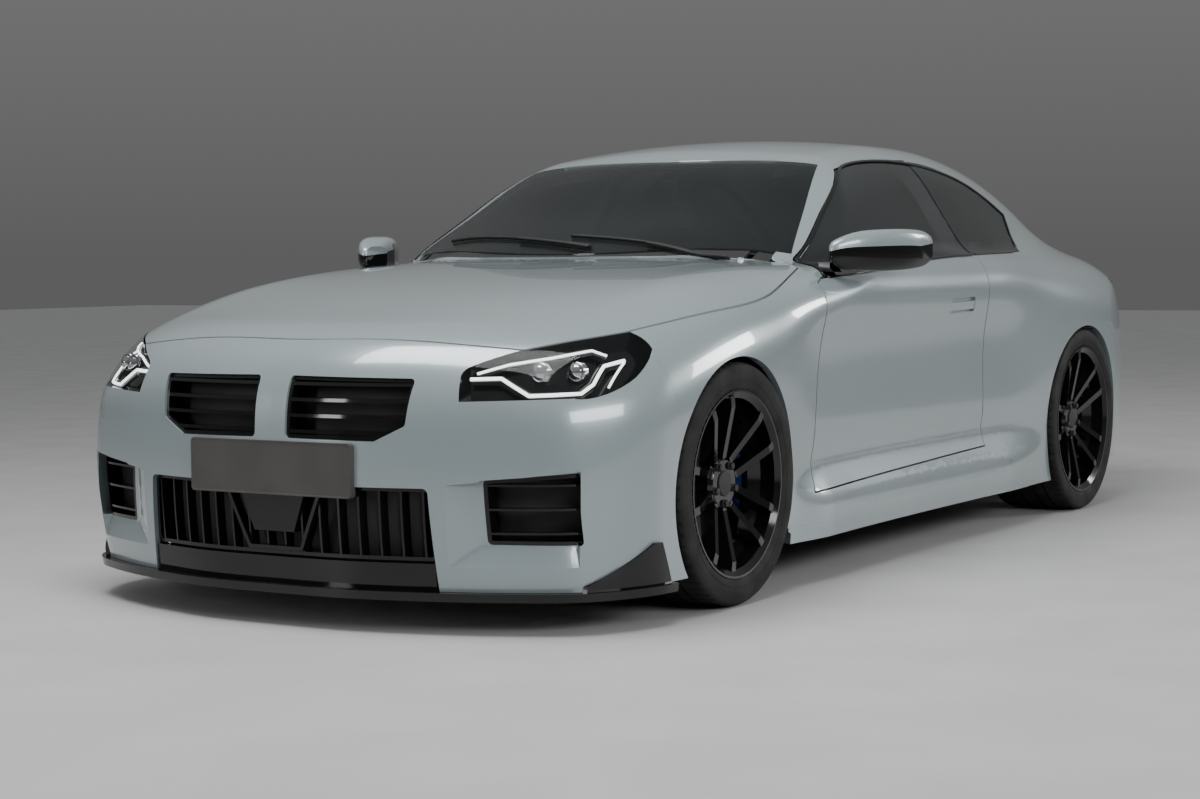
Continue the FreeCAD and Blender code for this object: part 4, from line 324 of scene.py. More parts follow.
red_glass = surface("red_glass", LENS_RED, LENS_RED_SHADE, 6.0, (0.04, 0.08), 0.0, ior=1.7, alpha=0.82)
mirror_glass = surface("mirror_glass", CHROME, CHROME, 3.0, (0.01, 0.03), 1.0)
lit_white = surface("lit_white", LIT_WHITE, LIT_WHITE, 40.0, (0.3, 0.4), glow=LIT_WHITE, glow_power=2.2)
lit_red = surface("lit_red", LIT_RED, LENS_RED, 40.0, (0.3, 0.4), glow=LIT_RED, glow_power=0.5)
plate_black = surface("plate_black", PLATE, PLATE_SHADE, 9.0, (0.6, 0.7), 0.0, 0.08, 500)


# A mesh as a piece that rides on a body
def piece(name, points, faces, material, body, slot=None, smooth=True, replaces=()):
    mesh = bpy.data.meshes.new(name)
    mesh.from_pydata([tuple(p) for p in np.asarray(points, float).tolist()], [], [tuple(f) for f in faces])
    mesh.materials.append(material)
    mesh.polygons.foreach_set("use_smooth", [smooth] * len(mesh.polygons))
    mesh.update()
    made = bpy.data.objects.new(name, mesh)
    bpy.context.scene.collection.objects.link(made)
    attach(made, body)
    if replaces:
        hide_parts(*replaces)
    return made


def unit(rows):
    return rows / np.maximum(np.linalg.norm(rows, axis=-1, keepdims=True), 1e-9)


# Closed strip along a line, its section an oval or a soft rectangle
section_count = 12


def strip_mesh(path, up, width, height, squareness=0.5):
    path = np.asarray(path, float)
    ahead = unit(np.gradient(path, axis=0))
    across = unit(np.cross(ahead, up))
    up = unit(np.cross(across, ahead))
    angles = np.linspace(0, 2 * math.pi, section_count, endpoint=False)
    c = np.sign(np.cos(angles)) * np.abs(np.cos(angles)) ** squareness
    s = np.sign(np.sin(angles)) * np.abs(np.sin(angles)) ** squareness
    rings = path[:, None] + across[:, None] * (c * width / 2)[None, :, None] + up[:, None] * (s * height / 2)[None, :, None]
    points = rings.reshape(-1, 3)
    faces = []
    for i in range(len(path) - 1):
        for j in range(section_count):
            k = (j + 1) % section_count
            a, b = i * section_count, (i + 1) * section_count
            faces.append((a + j, b + j, b + k, a + k))
    faces.append(tuple(range(section_count)))
    last = (len(path) - 1) * section_count
    faces.append(tuple(last + j for j in reversed(range(section_count))))
    return points, faces


# Several meshes as one
def merged(parts):
    points, faces, base = [], [], 0
    for part_points, part_faces in parts:
        points.append(np.asarray(part_points, float))
        faces += [tuple(i + base for i in face) for face in part_faces]
        base += len(part_points)
    return np.vstack(points), faces


def other_side(part):
    points, faces = part
    points = np.array(points, float) * (1, -1, 1)
    return points, [tuple(reversed(face)) for face in faces]


def both_sides(part):
    return merged([part, other_side(part)])


# Strip that lies on the skin at a height above it
def skin_strip(points, lift, width, height, squareness=0.5):
    out = facing(points)
    return strip_mesh(points + out * lift, out, width, height, squareness)


# Body panels: the CAD surface made finer and given the skin's own facing
finest_edge = 0.035
aligned_share = 0.86
paint_depth = 0.0010
pane_depth = 0.012
on_skin = 0.0009


def fine_panel(name, node, body, outer, inner, slot, depth=paint_depth):
    data = nodes[node].data
    points = np.array([v.co for v in data.vertices], float)
    corners = np.array([p.vertices[:] for p in data.polygons], int)
    normals = np.array([n.vector for n in data.corner_normals], float).reshape(-1, 3, 3)
    middles = points[corners].mean(1)
    flats = unit(np.cross(points[corners[:, 1]] - points[corners[:, 0]], points[corners[:, 2]] - points[corners[:, 0]]))
    out = facing(middles)
    on_outside = ((flats * out).sum(1) > aligned_share) & (np.abs(skin_level(middles)) < depth)
    grid = bmesh.new()
    used = {}
    for face in corners[on_outside]:
        held = []
        for i in face:
            if i not in used:
                used[i] = grid.verts.new(points[i])
            held.append(used[i])
        grid.faces.new(held)
    bmesh.ops.remove_doubles(grid, verts=grid.verts[:], dist=0.00001)
    for _ in range(3):
        long_edges = [e for e in grid.edges if e.calc_length() > finest_edge and not e.is_boundary]
        if not long_edges:
            break
        bmesh.ops.subdivide_edges(grid, edges=long_edges, cuts=1)
        bmesh.ops.triangulate(grid, faces=grid.faces[:])
    grid.verts.index_update()
    skin_points = np.array([v.co for v in grid.verts], float).reshape(-1, 3)
    skin_faces = [[v.index for v in f.verts] for f in grid.faces]
    grid.free()
    level = skin_level(skin_points)
    way = facing(skin_points)
    near = np.abs(level) < on_skin
    skin_points = skin_points - way * np.where(near, level, 0.0)[:, None]
    rest = corners[~on_outside] + len(skin_points)
    all_normals = np.vstack([way[np.array(skin_faces, int)].reshape(-1, 3), normals[~on_outside].reshape(-1, 3)])
    made = piece(name, np.vstack([skin_points, points]), skin_faces + rest.tolist(), outer, body, slot, True, (node,))
    made.data.materials.append(inner)
    kinds = [0] * len(skin_faces) + [1] * len(rest)
    made.data.polygons.foreach_set("material_index", kinds)
    made.data.normals_split_custom_set([tuple(n) for n in all_normals.tolist()])
    return made


def body_panels():
    plain = ["roof_panel", "front_bumper", "rear_bumper", "side_frame_left", "side_frame_right",
             "front_fender_left", "front_fender_right"]
    for node in plain:
        fine_panel(node + "_skin", node, "body", paint, paint, "paint")
    for node in ("bonnet", "boot_lid", "fuel_flap", "door_left", "door_right"):
        fine_panel(node + "_skin", node, node, paint, paint, "paint")
    for side in ("left", "right"):
        sail_plate(side)
    fine_panel("windscreen_pane", "windscreen", "body", screen_glass, screen_glass, "glass", pane_depth)
    fine_panel("rear_window_pane", "rear_window", "body", window_glass, window_glass, "glass", pane_depth)
    fine_panel("quarter_panes", "quarter_glass", "body", window_glass, window_glass, "glass", pane_depth)
    for side in ("left", "right"):
        fine_panel("door_pane_" + side, "door_glass_" + side, "door_" + side, window_glass, window_glass, "glass", pane_depth)
    fine_panel("headlamp_lenses", "headlamps", "body", lamp_glass, gloss_black, "lamp_glass")
    fine_panel("tail_lamp_lenses", "tail_lamps", "body", red_glass, gloss_black, "red_lens")


# The mirror's foot and the plate in the window's corner, as the CAD node has them
mirror_root = 0.8615


def sail_plate(side):
    data = nodes["mirror_" + side].data
    points = np.array([v.co for v in data.vertices], float)
    faces = [p.vertices[:] for p in data.polygons if np.abs(points[list(p.vertices), 1]).min() < mirror_root]
    used = sorted({i for face in faces for i in face})
    places = {old: new for new, old in enumerate(used)}
    faces = [tuple(places[i] for i in face) for face in faces]
    made = piece("mirror_foot_" + side, points[used], faces, gloss_black, "door_" + side, "gloss_black", True,
                 ("mirror_" + side,))
    made.data.set_sharp_from_angle(angle=math.radians(30))


# Materials of the CAD nodes that stay as they are
def dress_nodes():
    looks = {"tyre": rubber, "rim": gloss_black, "brake_disc": iron, "caliper": caliper_blue, "rear_calipers": caliper_blue,
             "knuckle": casting, "engine": casting, "front_suspension": casting, "rear_suspension": casting,
             "front_splitter": gloss_black, "front_grilles": gloss_black, "rear_diffuser": gloss_black,
             "exhaust": steel, "dashboard": cabin_black, "steering_wheel": leather, "front_seats": leather,
             "rear_bench": leather, "cowl": soft_black, "door_hinges": casting, "panel_hinges": casting,
             "wheel_liners": soft_black, "inner_mirror": cabin_black, "fuel_flap_hinge": casting,
             "mirror": gloss_black, "floor_pan": soft_black}
    for name, node in nodes.items():
        best = max((key for key in looks if name.startswith(key)), key=len, default=None)
        look = looks[best] if best else paint
        node.data.materials.clear()
        node.data.materials.append(look)


# Wheels: place along and across, tyre radius, tyre width and bead radius
AXLES = {"front": (1.424, 0.7955, 0.3375, 0.275, 0.2588), "rear": (-1.323, 0.7935, 0.3395, 0.285, 0.2715)}
tread_depth = 0.006
tread_pitches = 64
pitch_steps = 5
groove_slope = 0.0008
tread_crown = 0.008
rib_shares = [(0.0, 0.15), (0.24, 0.44), (0.53, 0.80)]
sidewall_shares = [(0.88, 0.965), (0.925, 0.93), (0.958, 0.885), (0.978, 0.83), (0.990, 0.74), (1.0, 0.60), (1.0, 0.46),
                   (0.990, 0.33), (0.984, 0.325), (0.984, 0.30), (0.988, 0.295), (0.975, 0.18), (0.962, 0.10),
                   (0.950, 0.055), (0.940, 0.03), (0.925, 0.0)]
shoulder_cut_shares = (0.56, 0.95)
middle_cut_shares = (0.23, 0.45)
cut_share = 0.7
tread_skew = 0.10
sharp_tread = math.radians(38)


# Half section of a tyre from its middle line out to its bead
def tyre_rows(radius, width, bead):
    half = width / 2
    rows = []
    for number, (low, high) in enumerate(rib_shares):
        start, end = [(share * half, radius - tread_crown * share ** 2) for share in (low, high)]
        if number:
            rows.append((rows[-1][0] + groove_slope, start[1] - tread_depth))
            rows.append((start[0] - groove_slope, start[1] - tread_depth))
        rows += [start, end]
    return rows + [(share * half, bead + (radius - bead) * up) for share, up in sidewall_shares]


# Tyre with grooves round it and cuts across its ribs
def tyre_mesh(axle):
    x, y, radius, width, bead = AXLES[axle]
    half_rows = tyre_rows(radius, width, bead)
    rows = np.array([(-a, r) for a, r in reversed(half_rows)] + half_rows[1:])
    turns = tread_pitches * pitch_steps
    angles = np.linspace(0, 2 * math.pi, turns, endpoint=False)
    step = np.arange(turns) % pitch_steps
    across = np.abs(rows[:, 0]) / (width / 2)
    outer = (across > shoulder_cut_shares[0]) & (across < shoulder_cut_shares[1])
    inner = (across > middle_cut_shares[0]) & (across < middle_cut_shares[1])
    cut = ((step == 0)[:, None] & outer[None, :]) | ((step == 2)[:, None] & inner[None, :])
    radii = rows[None, :, 1] - cut * tread_depth * cut_share
    turned_by = angles[:, None] + tread_skew * np.abs(rows[None, :, 0]) / width
    sideways = y + np.broadcast_to(rows[None, :, 0], radii.shape)
    points = np.stack([x + radii * np.sin(turned_by), sideways, radius + radii * np.cos(turned_by)], -1)
    count = len(rows)
    faces = []
    for i in range(turns):
        a, b = i * count, (i + 1) % turns * count
        faces += [(a + j, a + j + 1, b + j + 1, b + j) for j in range(count - 1)]
        faces.append((a + count - 1, a, b, b + count - 1))
    return points.reshape(-1, 3), faces


bolt_circle = 0.056
bolt_radius = 0.0105
bolt_rise = 0.010
bolt_count = 5
bolt_sides = 6
hub_plane = 0.052
cap_radius = 0.036
trim_foot = -0.004
cap_rows = [(1.0, trim_foot), (1.0, 0.002), (0.92, 0.005), (0.5, 0.007), (0.05, 0.0075)]
bolt_rows = [(1.2, trim_foot), (1.2, 0.001), (1.0, 0.002), (1.0, bolt_rise), (0.8, bolt_rise + 0.0015), (0.1, bolt_rise + 0.002)]
round_count = 48
sharp_trim = math.radians(35)


# Round part turned about a line along Y: rows of radius share and height
def turned(rows, scale, x, y, z, count=round_count):
    angles = np.linspace(0, 2 * math.pi, count, endpoint=False)
    points = [(x + r * scale * math.sin(a), y + d, z + r * scale * math.cos(a)) for r, d in rows for a in angles]
    faces = []
    for i in range(len(rows) - 1):
        for j in range(count):
            k = (j + 1) % count
            faces.append((i * count + j, i * count + k, (i + 1) * count + k, (i + 1) * count + j))
    faces.append(tuple(range(count)))
    faces.append(tuple((len(rows) - 1) * count + j for j in reversed(range(count))))
    return np.array(points), faces


def wheel_trim(axle):
    x, y, radius, width, _ = AXLES[axle]
    face = y + width / 2 - hub_plane
    parts = [turned(cap_rows, cap_radius, x, face, radius)]
    for i in range(bolt_count):
        angle = 2 * math.pi * (i + 0.5) / bolt_count
        bolt_x = x + bolt_circle * math.sin(angle)
        bolt_z = radius + bolt_circle * math.cos(angle)
        parts.append(turned(bolt_rows, bolt_radius, bolt_x, face, bolt_z, bolt_sides))
    return merged(parts)


def wheels():
    for axle in AXLES:
        tyre = tyre_mesh(axle)
        trim = wheel_trim(axle)
        for side in ("left", "right"):
            name = f"{axle}_{side}"
            shape = tyre if side == "left" else other_side(tyre)
            made = piece("tyre_tread_" + name, *shape, rubber, "wheel_" + name, "tyre", True, ("tyre_" + name,))
            made.data.set_sharp_from_angle(angle=sharp_tread)
            fitted = trim if side == "left" else other_side(trim)
            made = piece("wheel_bolts_" + name, *fitted, soft_black, "wheel_" + name, "gloss_black")
            made.data.set_sharp_from_angle(angle=sharp_trim)


# Black sheet behind an opening of the nose, partly real dark ducting and partly painted shade for the opening's shaded
# depth: limits across and up, and depth
duct_shade_depth = 0.075
duct_shade_grid = 14
duct_shade_thickness = 0.004
kidney_duct_shade = (0.035, 0.43, 0.485, 0.670, duct_shade_depth)
intake_duct_shade = (0.565, 0.845, 0.215, 0.425, duct_shade_depth + 0.02)
mouth_duct_shade = (-0.49, 0.49, 0.125, 0.385, duct_shade_depth)


def duct_shade_sheet(low_y, high_y, low_z, high_z, depth):
    ys = np.linspace(low_y, high_y, duct_shade_grid)
    zs = np.linspace(low_z, high_z, duct_shade_grid)
    ys, zs = np.meshgrid(ys, zs, indexing="ij")
    points = from_front(ys.ravel(), zs.ravel())
    points[:, 0] -= depth
    corners = [i * duct_shade_grid + j for i in range(duct_shade_grid - 1) for j in range(duct_shade_grid - 1)]
    faces = [(a, a + duct_shade_grid, a + duct_shade_grid + 1, a + 1) for a in corners]
    return points, faces


def grille_duct_shades():
    parts = [both_sides(duct_shade_sheet(*kidney_duct_shade)), both_sides(duct_shade_sheet(*intake_duct_shade)), duct_shade_sheet(*mouth_duct_shade)]
    # Painted shade: these black sheets fill the nose openings so they read dark as shaded depth, with part of it
    # standing for real dark ducting
    made = piece("grille_duct_shade", *merged(parts), soft_black, "body", "trim_plastic")
    made.modifiers.new("thick", "SOLIDIFY").thickness = duct_shade_thickness


# Light lines of the left headlamp, across and up in metres, seen from the front
lamp_main_line = [(0.548, 0.660), (0.622, 0.662), (0.698, 0.617), (0.806, 0.622), (0.820, 0.644), (0.820, 0.690),
                  (0.846, 0.702)]
lamp_outer_line = [(0.848, 0.698), (0.848, 0.636)]
lamp_top_line = [(0.560, 0.674), (0.628, 0.698), (0.713, 0.714), (0.778, 0.731), (0.812, 0.716)]
projector_places = [(0.765, 0.668), (0.690, 0.668)]
main_light = (0.014, 0.009, 0.006)
thin_light = (0.014, 0.0063, 0.005)
outer_light = (0.018, 0.0063, 0.005)
main_bezel = (0.024, 0.027, 0.010)
top_bezel = (0.024, 0.018, 0.008)
lamp_spacing = 0.006
light_squareness = 0.6
barrel_depth = 0.052
barrel_count = 32
barrel_rows = [(0.001, 0.034), (0.012, 0.031), (0.019, 0.024), (0.0195, 0.018), (0.024, 0.018), (0.026, 0.016), (0.026, 0.0)]
sharp_barrel = math.radians(40)


# Strip behind the lens along a line; its size gives depth, width and height
def lamp_line(corners, size):
    line = along_line(corners, lamp_spacing)
    points = from_front(line[:, 0], line[:, 1])
    return skin_strip(points, -size[0], size[1], size[2], light_squareness)


# Round lens in its barrel, facing the front
def lens_barrel(y, z):
    x = from_front(np.array([y]), np.array([z]))[0, 0] - barrel_depth
    angles = np.linspace(0, 2 * math.pi, barrel_count, endpoint=False)
    points = [(x + d, y + r * math.cos(a), z + r * math.sin(a)) for r, d in barrel_rows for a in angles]
    faces = []
    for i in range(len(barrel_rows) - 1):
        for j in range(barrel_count):
            k = (j + 1) % barrel_count
            a, b = i * barrel_count, (i + 1) * barrel_count
            faces.append((a + j, b + j, b + k, a + k))
    return np.array(points), faces


def headlamp_insides():
    lit = [lamp_line(lamp_main_line, main_light), lamp_line(lamp_top_line, thin_light), lamp_line(lamp_outer_line, outer_light)]
    piece("headlamp_lights", *both_sides(merged(lit)), lit_white, "body", "lamp_glass")
    bezels = [lamp_line(lamp_main_line, main_bezel), lamp_line(lamp_top_line, top_bezel)]
    piece("headlamp_bezels", *both_sides(merged(bezels)), gloss_black, "body", "gloss_black")
    barrels = [lens_barrel(y, z) for y, z in projector_places]
    made = piece("headlamp_projectors", *both_sides(merged(barrels)), chrome, "body", "gloss_black")
    made.data.set_sharp_from_angle(angle=sharp_barrel)


# Light bars of the left tail lamp, across and up in metres
tail_lines = [[(0.590, 0.835), (0.800, 0.830), (0.880, 0.815)], [(0.600, 0.780), (0.800, 0.776), (0.875, 0.772)]]
tail_light = (0.010, 0.010, 0.006)


def tail_lamp_insides():
    parts = []
    for corners in tail_lines:
        line = along_line(corners, lamp_spacing)
        points = from_behind(line[:, 0], line[:, 1])
        parts.append(skin_strip(points, -tail_light[0], tail_light[1], tail_light[2], light_squareness))
    piece("tail_lamp_lights", *both_sides(merged(parts)), lit_red, "body", "red_lens")


# Dark trim round the side windows, as shares of length and height
upper_trim_shares = [(0.3220, 0.6560), (0.185, 0.7860), (0.0583, 0.9030), (0.0, 0.9230), (-0.08, 0.9330),
                     (-0.165, 0.9340), (-0.26, 0.9250), (-0.38, 0.8960), (-0.46, 0.8500), (-0.5122, 0.8058)]
belt_trim_shares = [(0.318, 0.652), (0.200, 0.6655), (0.080, 0.6790), (-0.0439, 0.6912), (-0.12, 0.6953), (-0.196, 0.6990)]
quarter_trim_shares = [(-0.2045, 0.6995), (-0.32, 0.7020), (-0.4426, 0.7051), (-0.4800, 0.7540), (-0.5122, 0.8058)]
trim_width = 0.011
trim_height = 0.005
trim_lift = 0.0006
trim_spacing = 0.012


def side_trim(shares):
    line = along_line(softened([(a * LONG, b * HIGH) for a, b in shares], 2), trim_spacing)
    points = from_side(line[:, 0], line[:, 1])
    return skin_strip(points, trim_lift, trim_width, trim_height, light_squareness)


def window_trims():
    around = merged([side_trim(upper_trim_shares), side_trim(quarter_trim_shares)])
    piece("window_trims", *both_sides(around), gloss_black, "body", "gloss_black")
    belt = side_trim(belt_trim_shares)
    piece("belt_trim_left", *belt, gloss_black, "door_left", "gloss_black")
    piece("belt_trim_right", *other_side(belt), gloss_black, "door_right", "gloss_black")


# Black printed borders under the glass: lines as shares of length and width, then their width
screen_border_shares = [([(0.3757, 0.0), (0.345, 0.40), (0.285, 0.715)], 0.075),
                        ([(0.285, 0.720), (0.175, 0.655), (0.070, 0.590)], 0.045),
                        ([(0.070, 0.585), (0.088, 0.35), (0.098, 0.0)], 0.070)]
rear_border_shares = [([(-0.752, 0.0), (-0.752, 0.30), (-0.748, 0.600)], 0.050),
                      ([(-0.748, 0.600), (-0.60, 0.575), (-0.460, 0.548)], 0.040),
                      ([(-0.4600, 0.548), (-0.448, 0.30), (-0.443, 0.0)], 0.045)]
border_sink = 0.009
border_height = 0.001
border_spacing = 0.02


# Line on the upper side of the car through corners given as shares
def deck_line(corners, spacing):
    return along_line(softened([(a * LONG, b * WIDE) for a, b in corners], 2), spacing)


def glass_borders():
    parts = []
    for corners, width in screen_border_shares + rear_border_shares:
        line = deck_line(corners, border_spacing)
        points = from_above(line[:, 0], line[:, 1])
        parts.append(skin_strip(points, -border_sink, width, border_height, light_squareness))
    piece("glass_borders", *both_sides(merged(parts)), gloss_black, "body", "gloss_black")


# Wiper arms and blades at the foot of the windscreen: height over the glass, width and height
wiper_shares = [[(0.360, 0.10), (0.335, -0.20), (0.300, -0.56)], [(0.362, 0.62), (0.345, 0.30), (0.330, -0.02)]]
blade_size = (0.006, 0.009, 0.011)
arm_size = (0.013, 0.013, 0.008)
arm_places = (0.012, 0.010)
wiper_spacing = 0.012
wiper_squareness = 0.7


def wipers():
    parts = []
    for corners in wiper_shares:
        line = deck_line(corners, wiper_spacing)
        arm = [line[0] + (arm_places[0], 0.0), line[len(line) // 2] + (arm_places[1], 0.0)]
        for places, size in ((line, blade_size), (along_line(arm, wiper_spacing), arm_size)):
            points = from_above(places[:, 0], places[:, 1])
            parts.append(skin_strip(points, *size, wiper_squareness))
    piece("wipers", *merged(parts), soft_black, "body", "trim_plastic")


# Blank number plate panel: half width, foot, top and place along
front_plate = (0.267, 0.347, 0.489, 2.2965)
plate_thickness = 0.0035
plate_back = -0.016
plate_corner = 0.010
plate_edge = 0.0027
corner_turns = 5
plate_rings = [(plate_back, 0.0), (plate_thickness, 0.0), (plate_thickness, plate_edge), (plate_thickness * 0.6, plate_edge * 2)]
sharp_plate = math.radians(15)


# Rounded outline, then a ring of it for each depth and inset
def plate(half, low, high, x):
    outline = []
    for y, z, start in ((half, high, 0), (-half, high, 90), (-half, low, 180), (half, low, 270)):
        for i in range(corner_turns):
            angle = math.radians(start + 90 * i / (corner_turns - 1))
            middle_y = y - math.copysign(plate_corner, y)
            middle_z = z - plate_corner if z == high else z + plate_corner
            outline.append((middle_y + plate_corner * math.cos(angle), middle_z + plate_corner * math.sin(angle)))
    middle = (low + high) / 2
    points = [(x + depth, y - math.copysign(inset, y), z - math.copysign(inset, z - middle))
              for depth, inset in plate_rings for y, z in outline]
    count = len(outline)
    faces = []
    for i in range(len(plate_rings) - 1):
        for j in range(count):
            k = (j + 1) % count
            faces.append((i * count + j, i * count + k, (i + 1) * count + k, (i + 1) * count + j))
    faces.append(tuple((len(plate_rings) - 1) * count + j for j in range(count)))
    faces.append(tuple(reversed(range(count))))
    return np.array(points), faces


def number_plate():
    made = piece("front_plate", *plate(*front_plate), plate_black, "body", "trim_plastic")
    made.data.set_sharp_from_angle(angle=sharp_plate)


# Mirror caps over the CAD housings: place across, rear, front, foot and top of each section
mirror_sections = [(0.862, 0.606, 0.722, 0.925, 1.003), (0.880, 0.580, 0.728, 0.918, 1.013),
                   (0.915, 0.486, 0.700, 0.911, 1.031), (0.955, 0.415, 0.640, 0.910, 1.037),
                   (0.990, 0.377, 0.560, 0.913, 1.038), (1.015, 0.340, 0.480, 0.922, 1.033),
                   (1.0285, 0.328, 0.420, 0.938, 1.018)]
ring_count = 32
section_steps = 25
mirror_squareness = 0.62
cap_turn_shares = (0.02, 0.93)
base_turn_shares = (-1.07, 0.02)
glass_turn_shares = (0.80, 1.20)
glass_end_shares = (0.30, 0.93)
glass_lift = 0.003
sharp_mirror = math.radians(50)


# Part of one section's oval, from one share of a half turn to another
def mirror_ring(section, turns):
    y, rear, front, low, high = section
    angles = np.linspace(turns[0] * math.pi, turns[1] * math.pi, ring_count)
    c, s = np.cos(angles), np.sin(angles)
    c = np.sign(c) * np.abs(c) ** mirror_squareness
    s = np.sign(s) * np.abs(s) ** mirror_squareness
    x = (rear + front) / 2 + c * (front - rear) / 2
    z = (low + high) / 2 + s * (high - low) / 2
    return np.column_stack([x, np.full(ring_count, y), z])


def mirror_part(turns, ends=(0.0, 1.0)):
    table = np.array(mirror_sections)
    fine = np.linspace(*ends, section_steps)
    places = np.linspace(0, 1, len(table))
    sections = np.column_stack([spline(list(zip(places, column)))(fine) for column in table.T])
    rings = [mirror_ring(section, turns) for section in sections]
    faces = []
    for i in range(len(rings) - 1):
        for j in range(ring_count - 1):
            a, b = i * ring_count, (i + 1) * ring_count
            faces.append((a + j, a + j + 1, b + j + 1, b + j))
    last = (len(rings) - 1) * ring_count
    faces.append(tuple(last + j for j in range(ring_count)))
    faces.append(tuple(reversed(range(ring_count))))
    return np.vstack(rings), faces


def mirrors():
    points, faces = mirror_part(glass_turn_shares, glass_end_shares)
    glass = points - np.array([glass_lift, 0.0, 0.0]), faces
    looks = (("mirror_cap_", mirror_part(cap_turn_shares), paint, "paint"),
             ("mirror_base_", mirror_part(base_turn_shares), gloss_black, "gloss_black"),
             ("mirror_glass_", glass, mirror_glass, "glass"))
    for side in ("left", "right"):
        for name, part, look, slot in looks:
            shape = part if side == "left" else other_side(part)
            made = piece(name + side, *shape, look, "door_" + side, slot)
            made.data.set_sharp_from_angle(angle=sharp_mirror)


# Seats: pads swollen from rounded blocks with sewn channels
pad_cuts = 26
pad_power = 3.6
channel_depth = 0.007
channel_width_share = 0.03
bolster_shares = (0.5, 0.35)


def pad(centre, half, lean, crown, bolster, channels):
    grid = bmesh.new()
    bmesh.ops.create_cube(grid, size=2.0)
    bmesh.ops.subdivide_edges(grid, edges=grid.edges[:], cuts=pad_cuts, use_grid_fill=True)
    corners = np.array([v.co for v in grid.verts], float)
    grid.verts.index_update()
    faces = [[v.index for v in f.verts] for f in grid.faces]
    grid.free()
    shaped = corners / ((np.abs(corners) ** pad_power).sum(1) ** (1 / pad_power))[:, None]
    u, v, w = shaped.T
    swell = crown * (1 - u ** 2) * (1 - v ** 2)
    sides = bolster * ease((np.abs(v) - bolster_shares[0]) / bolster_shares[1]) * (1 - u ** 4)
    lines = np.zeros(len(u))
    for place, axis in channels:
        lines += np.exp(-((shaped[:, axis] - place) / channel_width_share) ** 2)
    points = shaped * np.array(half)
    points[:, 2] += np.maximum(w, 0.0) * (swell + sides - channel_depth * lines)
    turn = np.array(Matrix.Rotation(math.radians(lean), 3, "Y"))
    return points @ turn.T + np.array(centre), faces


cushion_channels = [(-0.5, 1), (0.5, 1), (-0.4, 0), (0.0, 0), (0.4, 0)]
back_channels = [(-0.5, 1), (0.5, 1), (-0.5, 0), (-0.2, 0), (0.1, 0), (0.4, 0)]
# Pads of the seats: name, centre, half sizes, lean, crown, side bolster and sewn channels
front_pads = [("cushion", (0.075, 0.382, 0.315), (0.255, 0.230, 0.070), -4, 0.012, 0.030, cushion_channels),
              ("back", (-0.320, 0.382, 0.645), (0.300, 0.225, 0.055), -72, 0.010, 0.032, back_channels),
              ("head", (-0.478, 0.382, 0.985), (0.085, 0.125, 0.045), -76, 0.008, 0.0, [(0.0, 0)])]
bench_channels = [(0.0, 1), (0.0, 0)]
rear_pads = [("cushion", (-0.775, 0.285, 0.375), (0.215, 0.270, 0.060), -6, 0.010, 0.015, bench_channels),
             ("back", (-0.985, 0.285, 0.650), (0.235, 0.270, 0.050), -78, 0.010, 0.015, bench_channels)]


def seats():
    for row, pads, node in (("front", front_pads, "front_seats"), ("rear", rear_pads, "rear_bench")):
        for part, centre, *rest in pads:
            for side, word in ((1, "left"), (-1, "right")):
                place = (centre[0], centre[1] * side, centre[2])
                name = f"{row}_seat_{part}_{word}"
                made = piece(name, *pad(place, *rest), leather, "body", "seat_leather", True, (node,))


# Camera, floor and lights
camera_place = (6.9979, 3.8799, 0.9634)
camera_yaw = -148.573
camera_pitch = -3.496
camera_roll = -0.489
camera_lens = 69.35
camera_shift = (0.0025, -0.0019)
floor_half = 30.0


def stage():
    mesh = bpy.data.meshes.new("floor")
    h = floor_half
    mesh.from_pydata([(-h, -h, 0), (h, -h, 0), (h, h, 0), (-h, h, 0)], [], [(0, 1, 2, 3)])
    mesh.materials.append(surface("floor", FLOOR, FLOOR_SHADE, 3.0, (0.45, 0.6), 0.0, 0.1, 60))
    floor = bpy.data.objects.new("floor", mesh)
    bpy.context.scene.collection.objects.link(floor)


# Lights: name, place, aim, width and height, power
studio_lights = [("overhead", (2.6, 0.0, 5.0), (1.0, 0.0, 0.0), (4.0, 2.4), 330),
                 ("key", (3.5, 7.5, 3.4), (0.5, 0.0, 0.5), (6.0, 1.6), 330),
                 ("front", (9.0, -3.5, 2.4), (1.5, 0.0, 0.5), (1.2, 3.0), 130),
                 ("rear", (-6.5, 6.0, 3.2), (-1.0, 0.0, 0.6), (3.0, 1.5), 240)]
world_ends = ((0.0, (0.30, 0.30, 0.30, 1.0)), (0.55, (0.95, 0.96, 0.97, 1.0)))
world_strength = 0.38


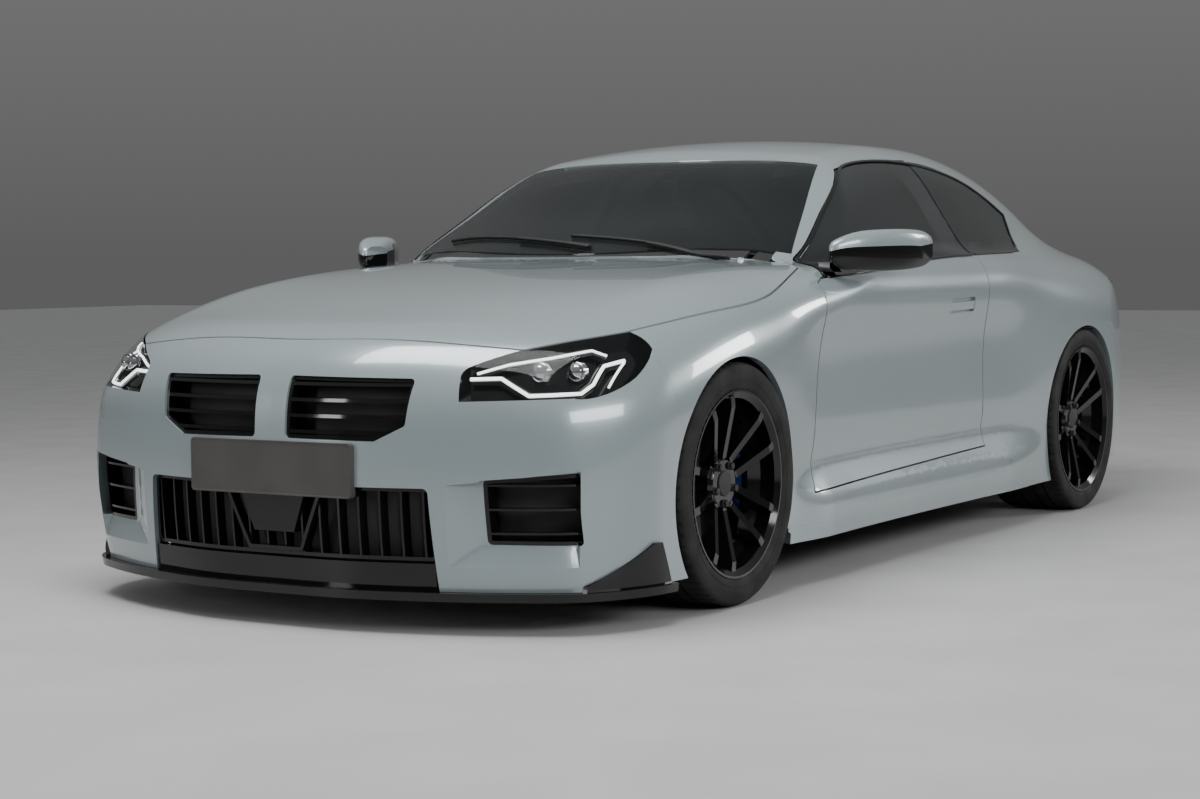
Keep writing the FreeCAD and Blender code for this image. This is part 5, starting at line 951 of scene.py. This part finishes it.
def lights():
    for name, place, aim, size, power in studio_lights:
        data = bpy.data.lights.new(name, "AREA")
        data.shape = "RECTANGLE"
        data.size, data.size_y = size
        data.energy = power
        light = bpy.data.objects.new(name, data)
        light.location = place
        light.rotation_mode = "QUATERNION"
        light.rotation_quaternion = (Vector(aim) - Vector(place)).to_track_quat("-Z", "Y")
        bpy.context.scene.collection.objects.link(light)


# Grey room round the car, paler overhead
def surroundings():
    world = bpy.data.worlds.new("studio")
    world.use_nodes = True
    tree = world.node_tree
    back = tree.nodes["Background"]
    place = tree.nodes.new("ShaderNodeTexCoord")
    split = tree.nodes.new("ShaderNodeSeparateXYZ")
    ramp = tree.nodes.new("ShaderNodeValToRGB")
    tree.links.new(place.outputs["Generated"], split.inputs["Vector"])
    tree.links.new(split.outputs["Z"], ramp.inputs["Fac"])
    for element, (position, colour) in zip(ramp.color_ramp.elements, world_ends):
        element.position = position
        element.color = colour
    tree.links.new(ramp.outputs["Color"], back.inputs["Color"])
    back.inputs["Strength"].default_value = world_strength
    bpy.context.scene.world = world


def camera():
    yaw, pitch, roll = (math.radians(a) for a in (camera_yaw, camera_pitch, camera_roll))
    ahead = Vector((math.cos(yaw) * math.cos(pitch), math.sin(yaw) * math.cos(pitch), math.sin(pitch)))
    right = ahead.cross(Vector((0, 0, 1))).normalized()
    up = right.cross(ahead)
    turned_right = right * math.cos(roll) + up * math.sin(roll)
    turned_up = up * math.cos(roll) - right * math.sin(roll)
    data = bpy.data.cameras.new("camera")
    data.lens = camera_lens
    data.shift_x, data.shift_y = camera_shift
    made = bpy.data.objects.new("camera", data)
    made.matrix_world = Matrix.Translation(camera_place) @ Matrix((turned_right, turned_up, -ahead)).transposed().to_4x4()
    bpy.context.scene.collection.objects.link(made)
    bpy.context.scene.camera = made


dress_nodes()
body_panels()
wheels()
grille_duct_shades()
headlamp_insides()
tail_lamp_insides()
window_trims()
glass_borders()
wipers()
number_plate()
mirrors()
seats()
stage()
lights()
surroundings()
camera()
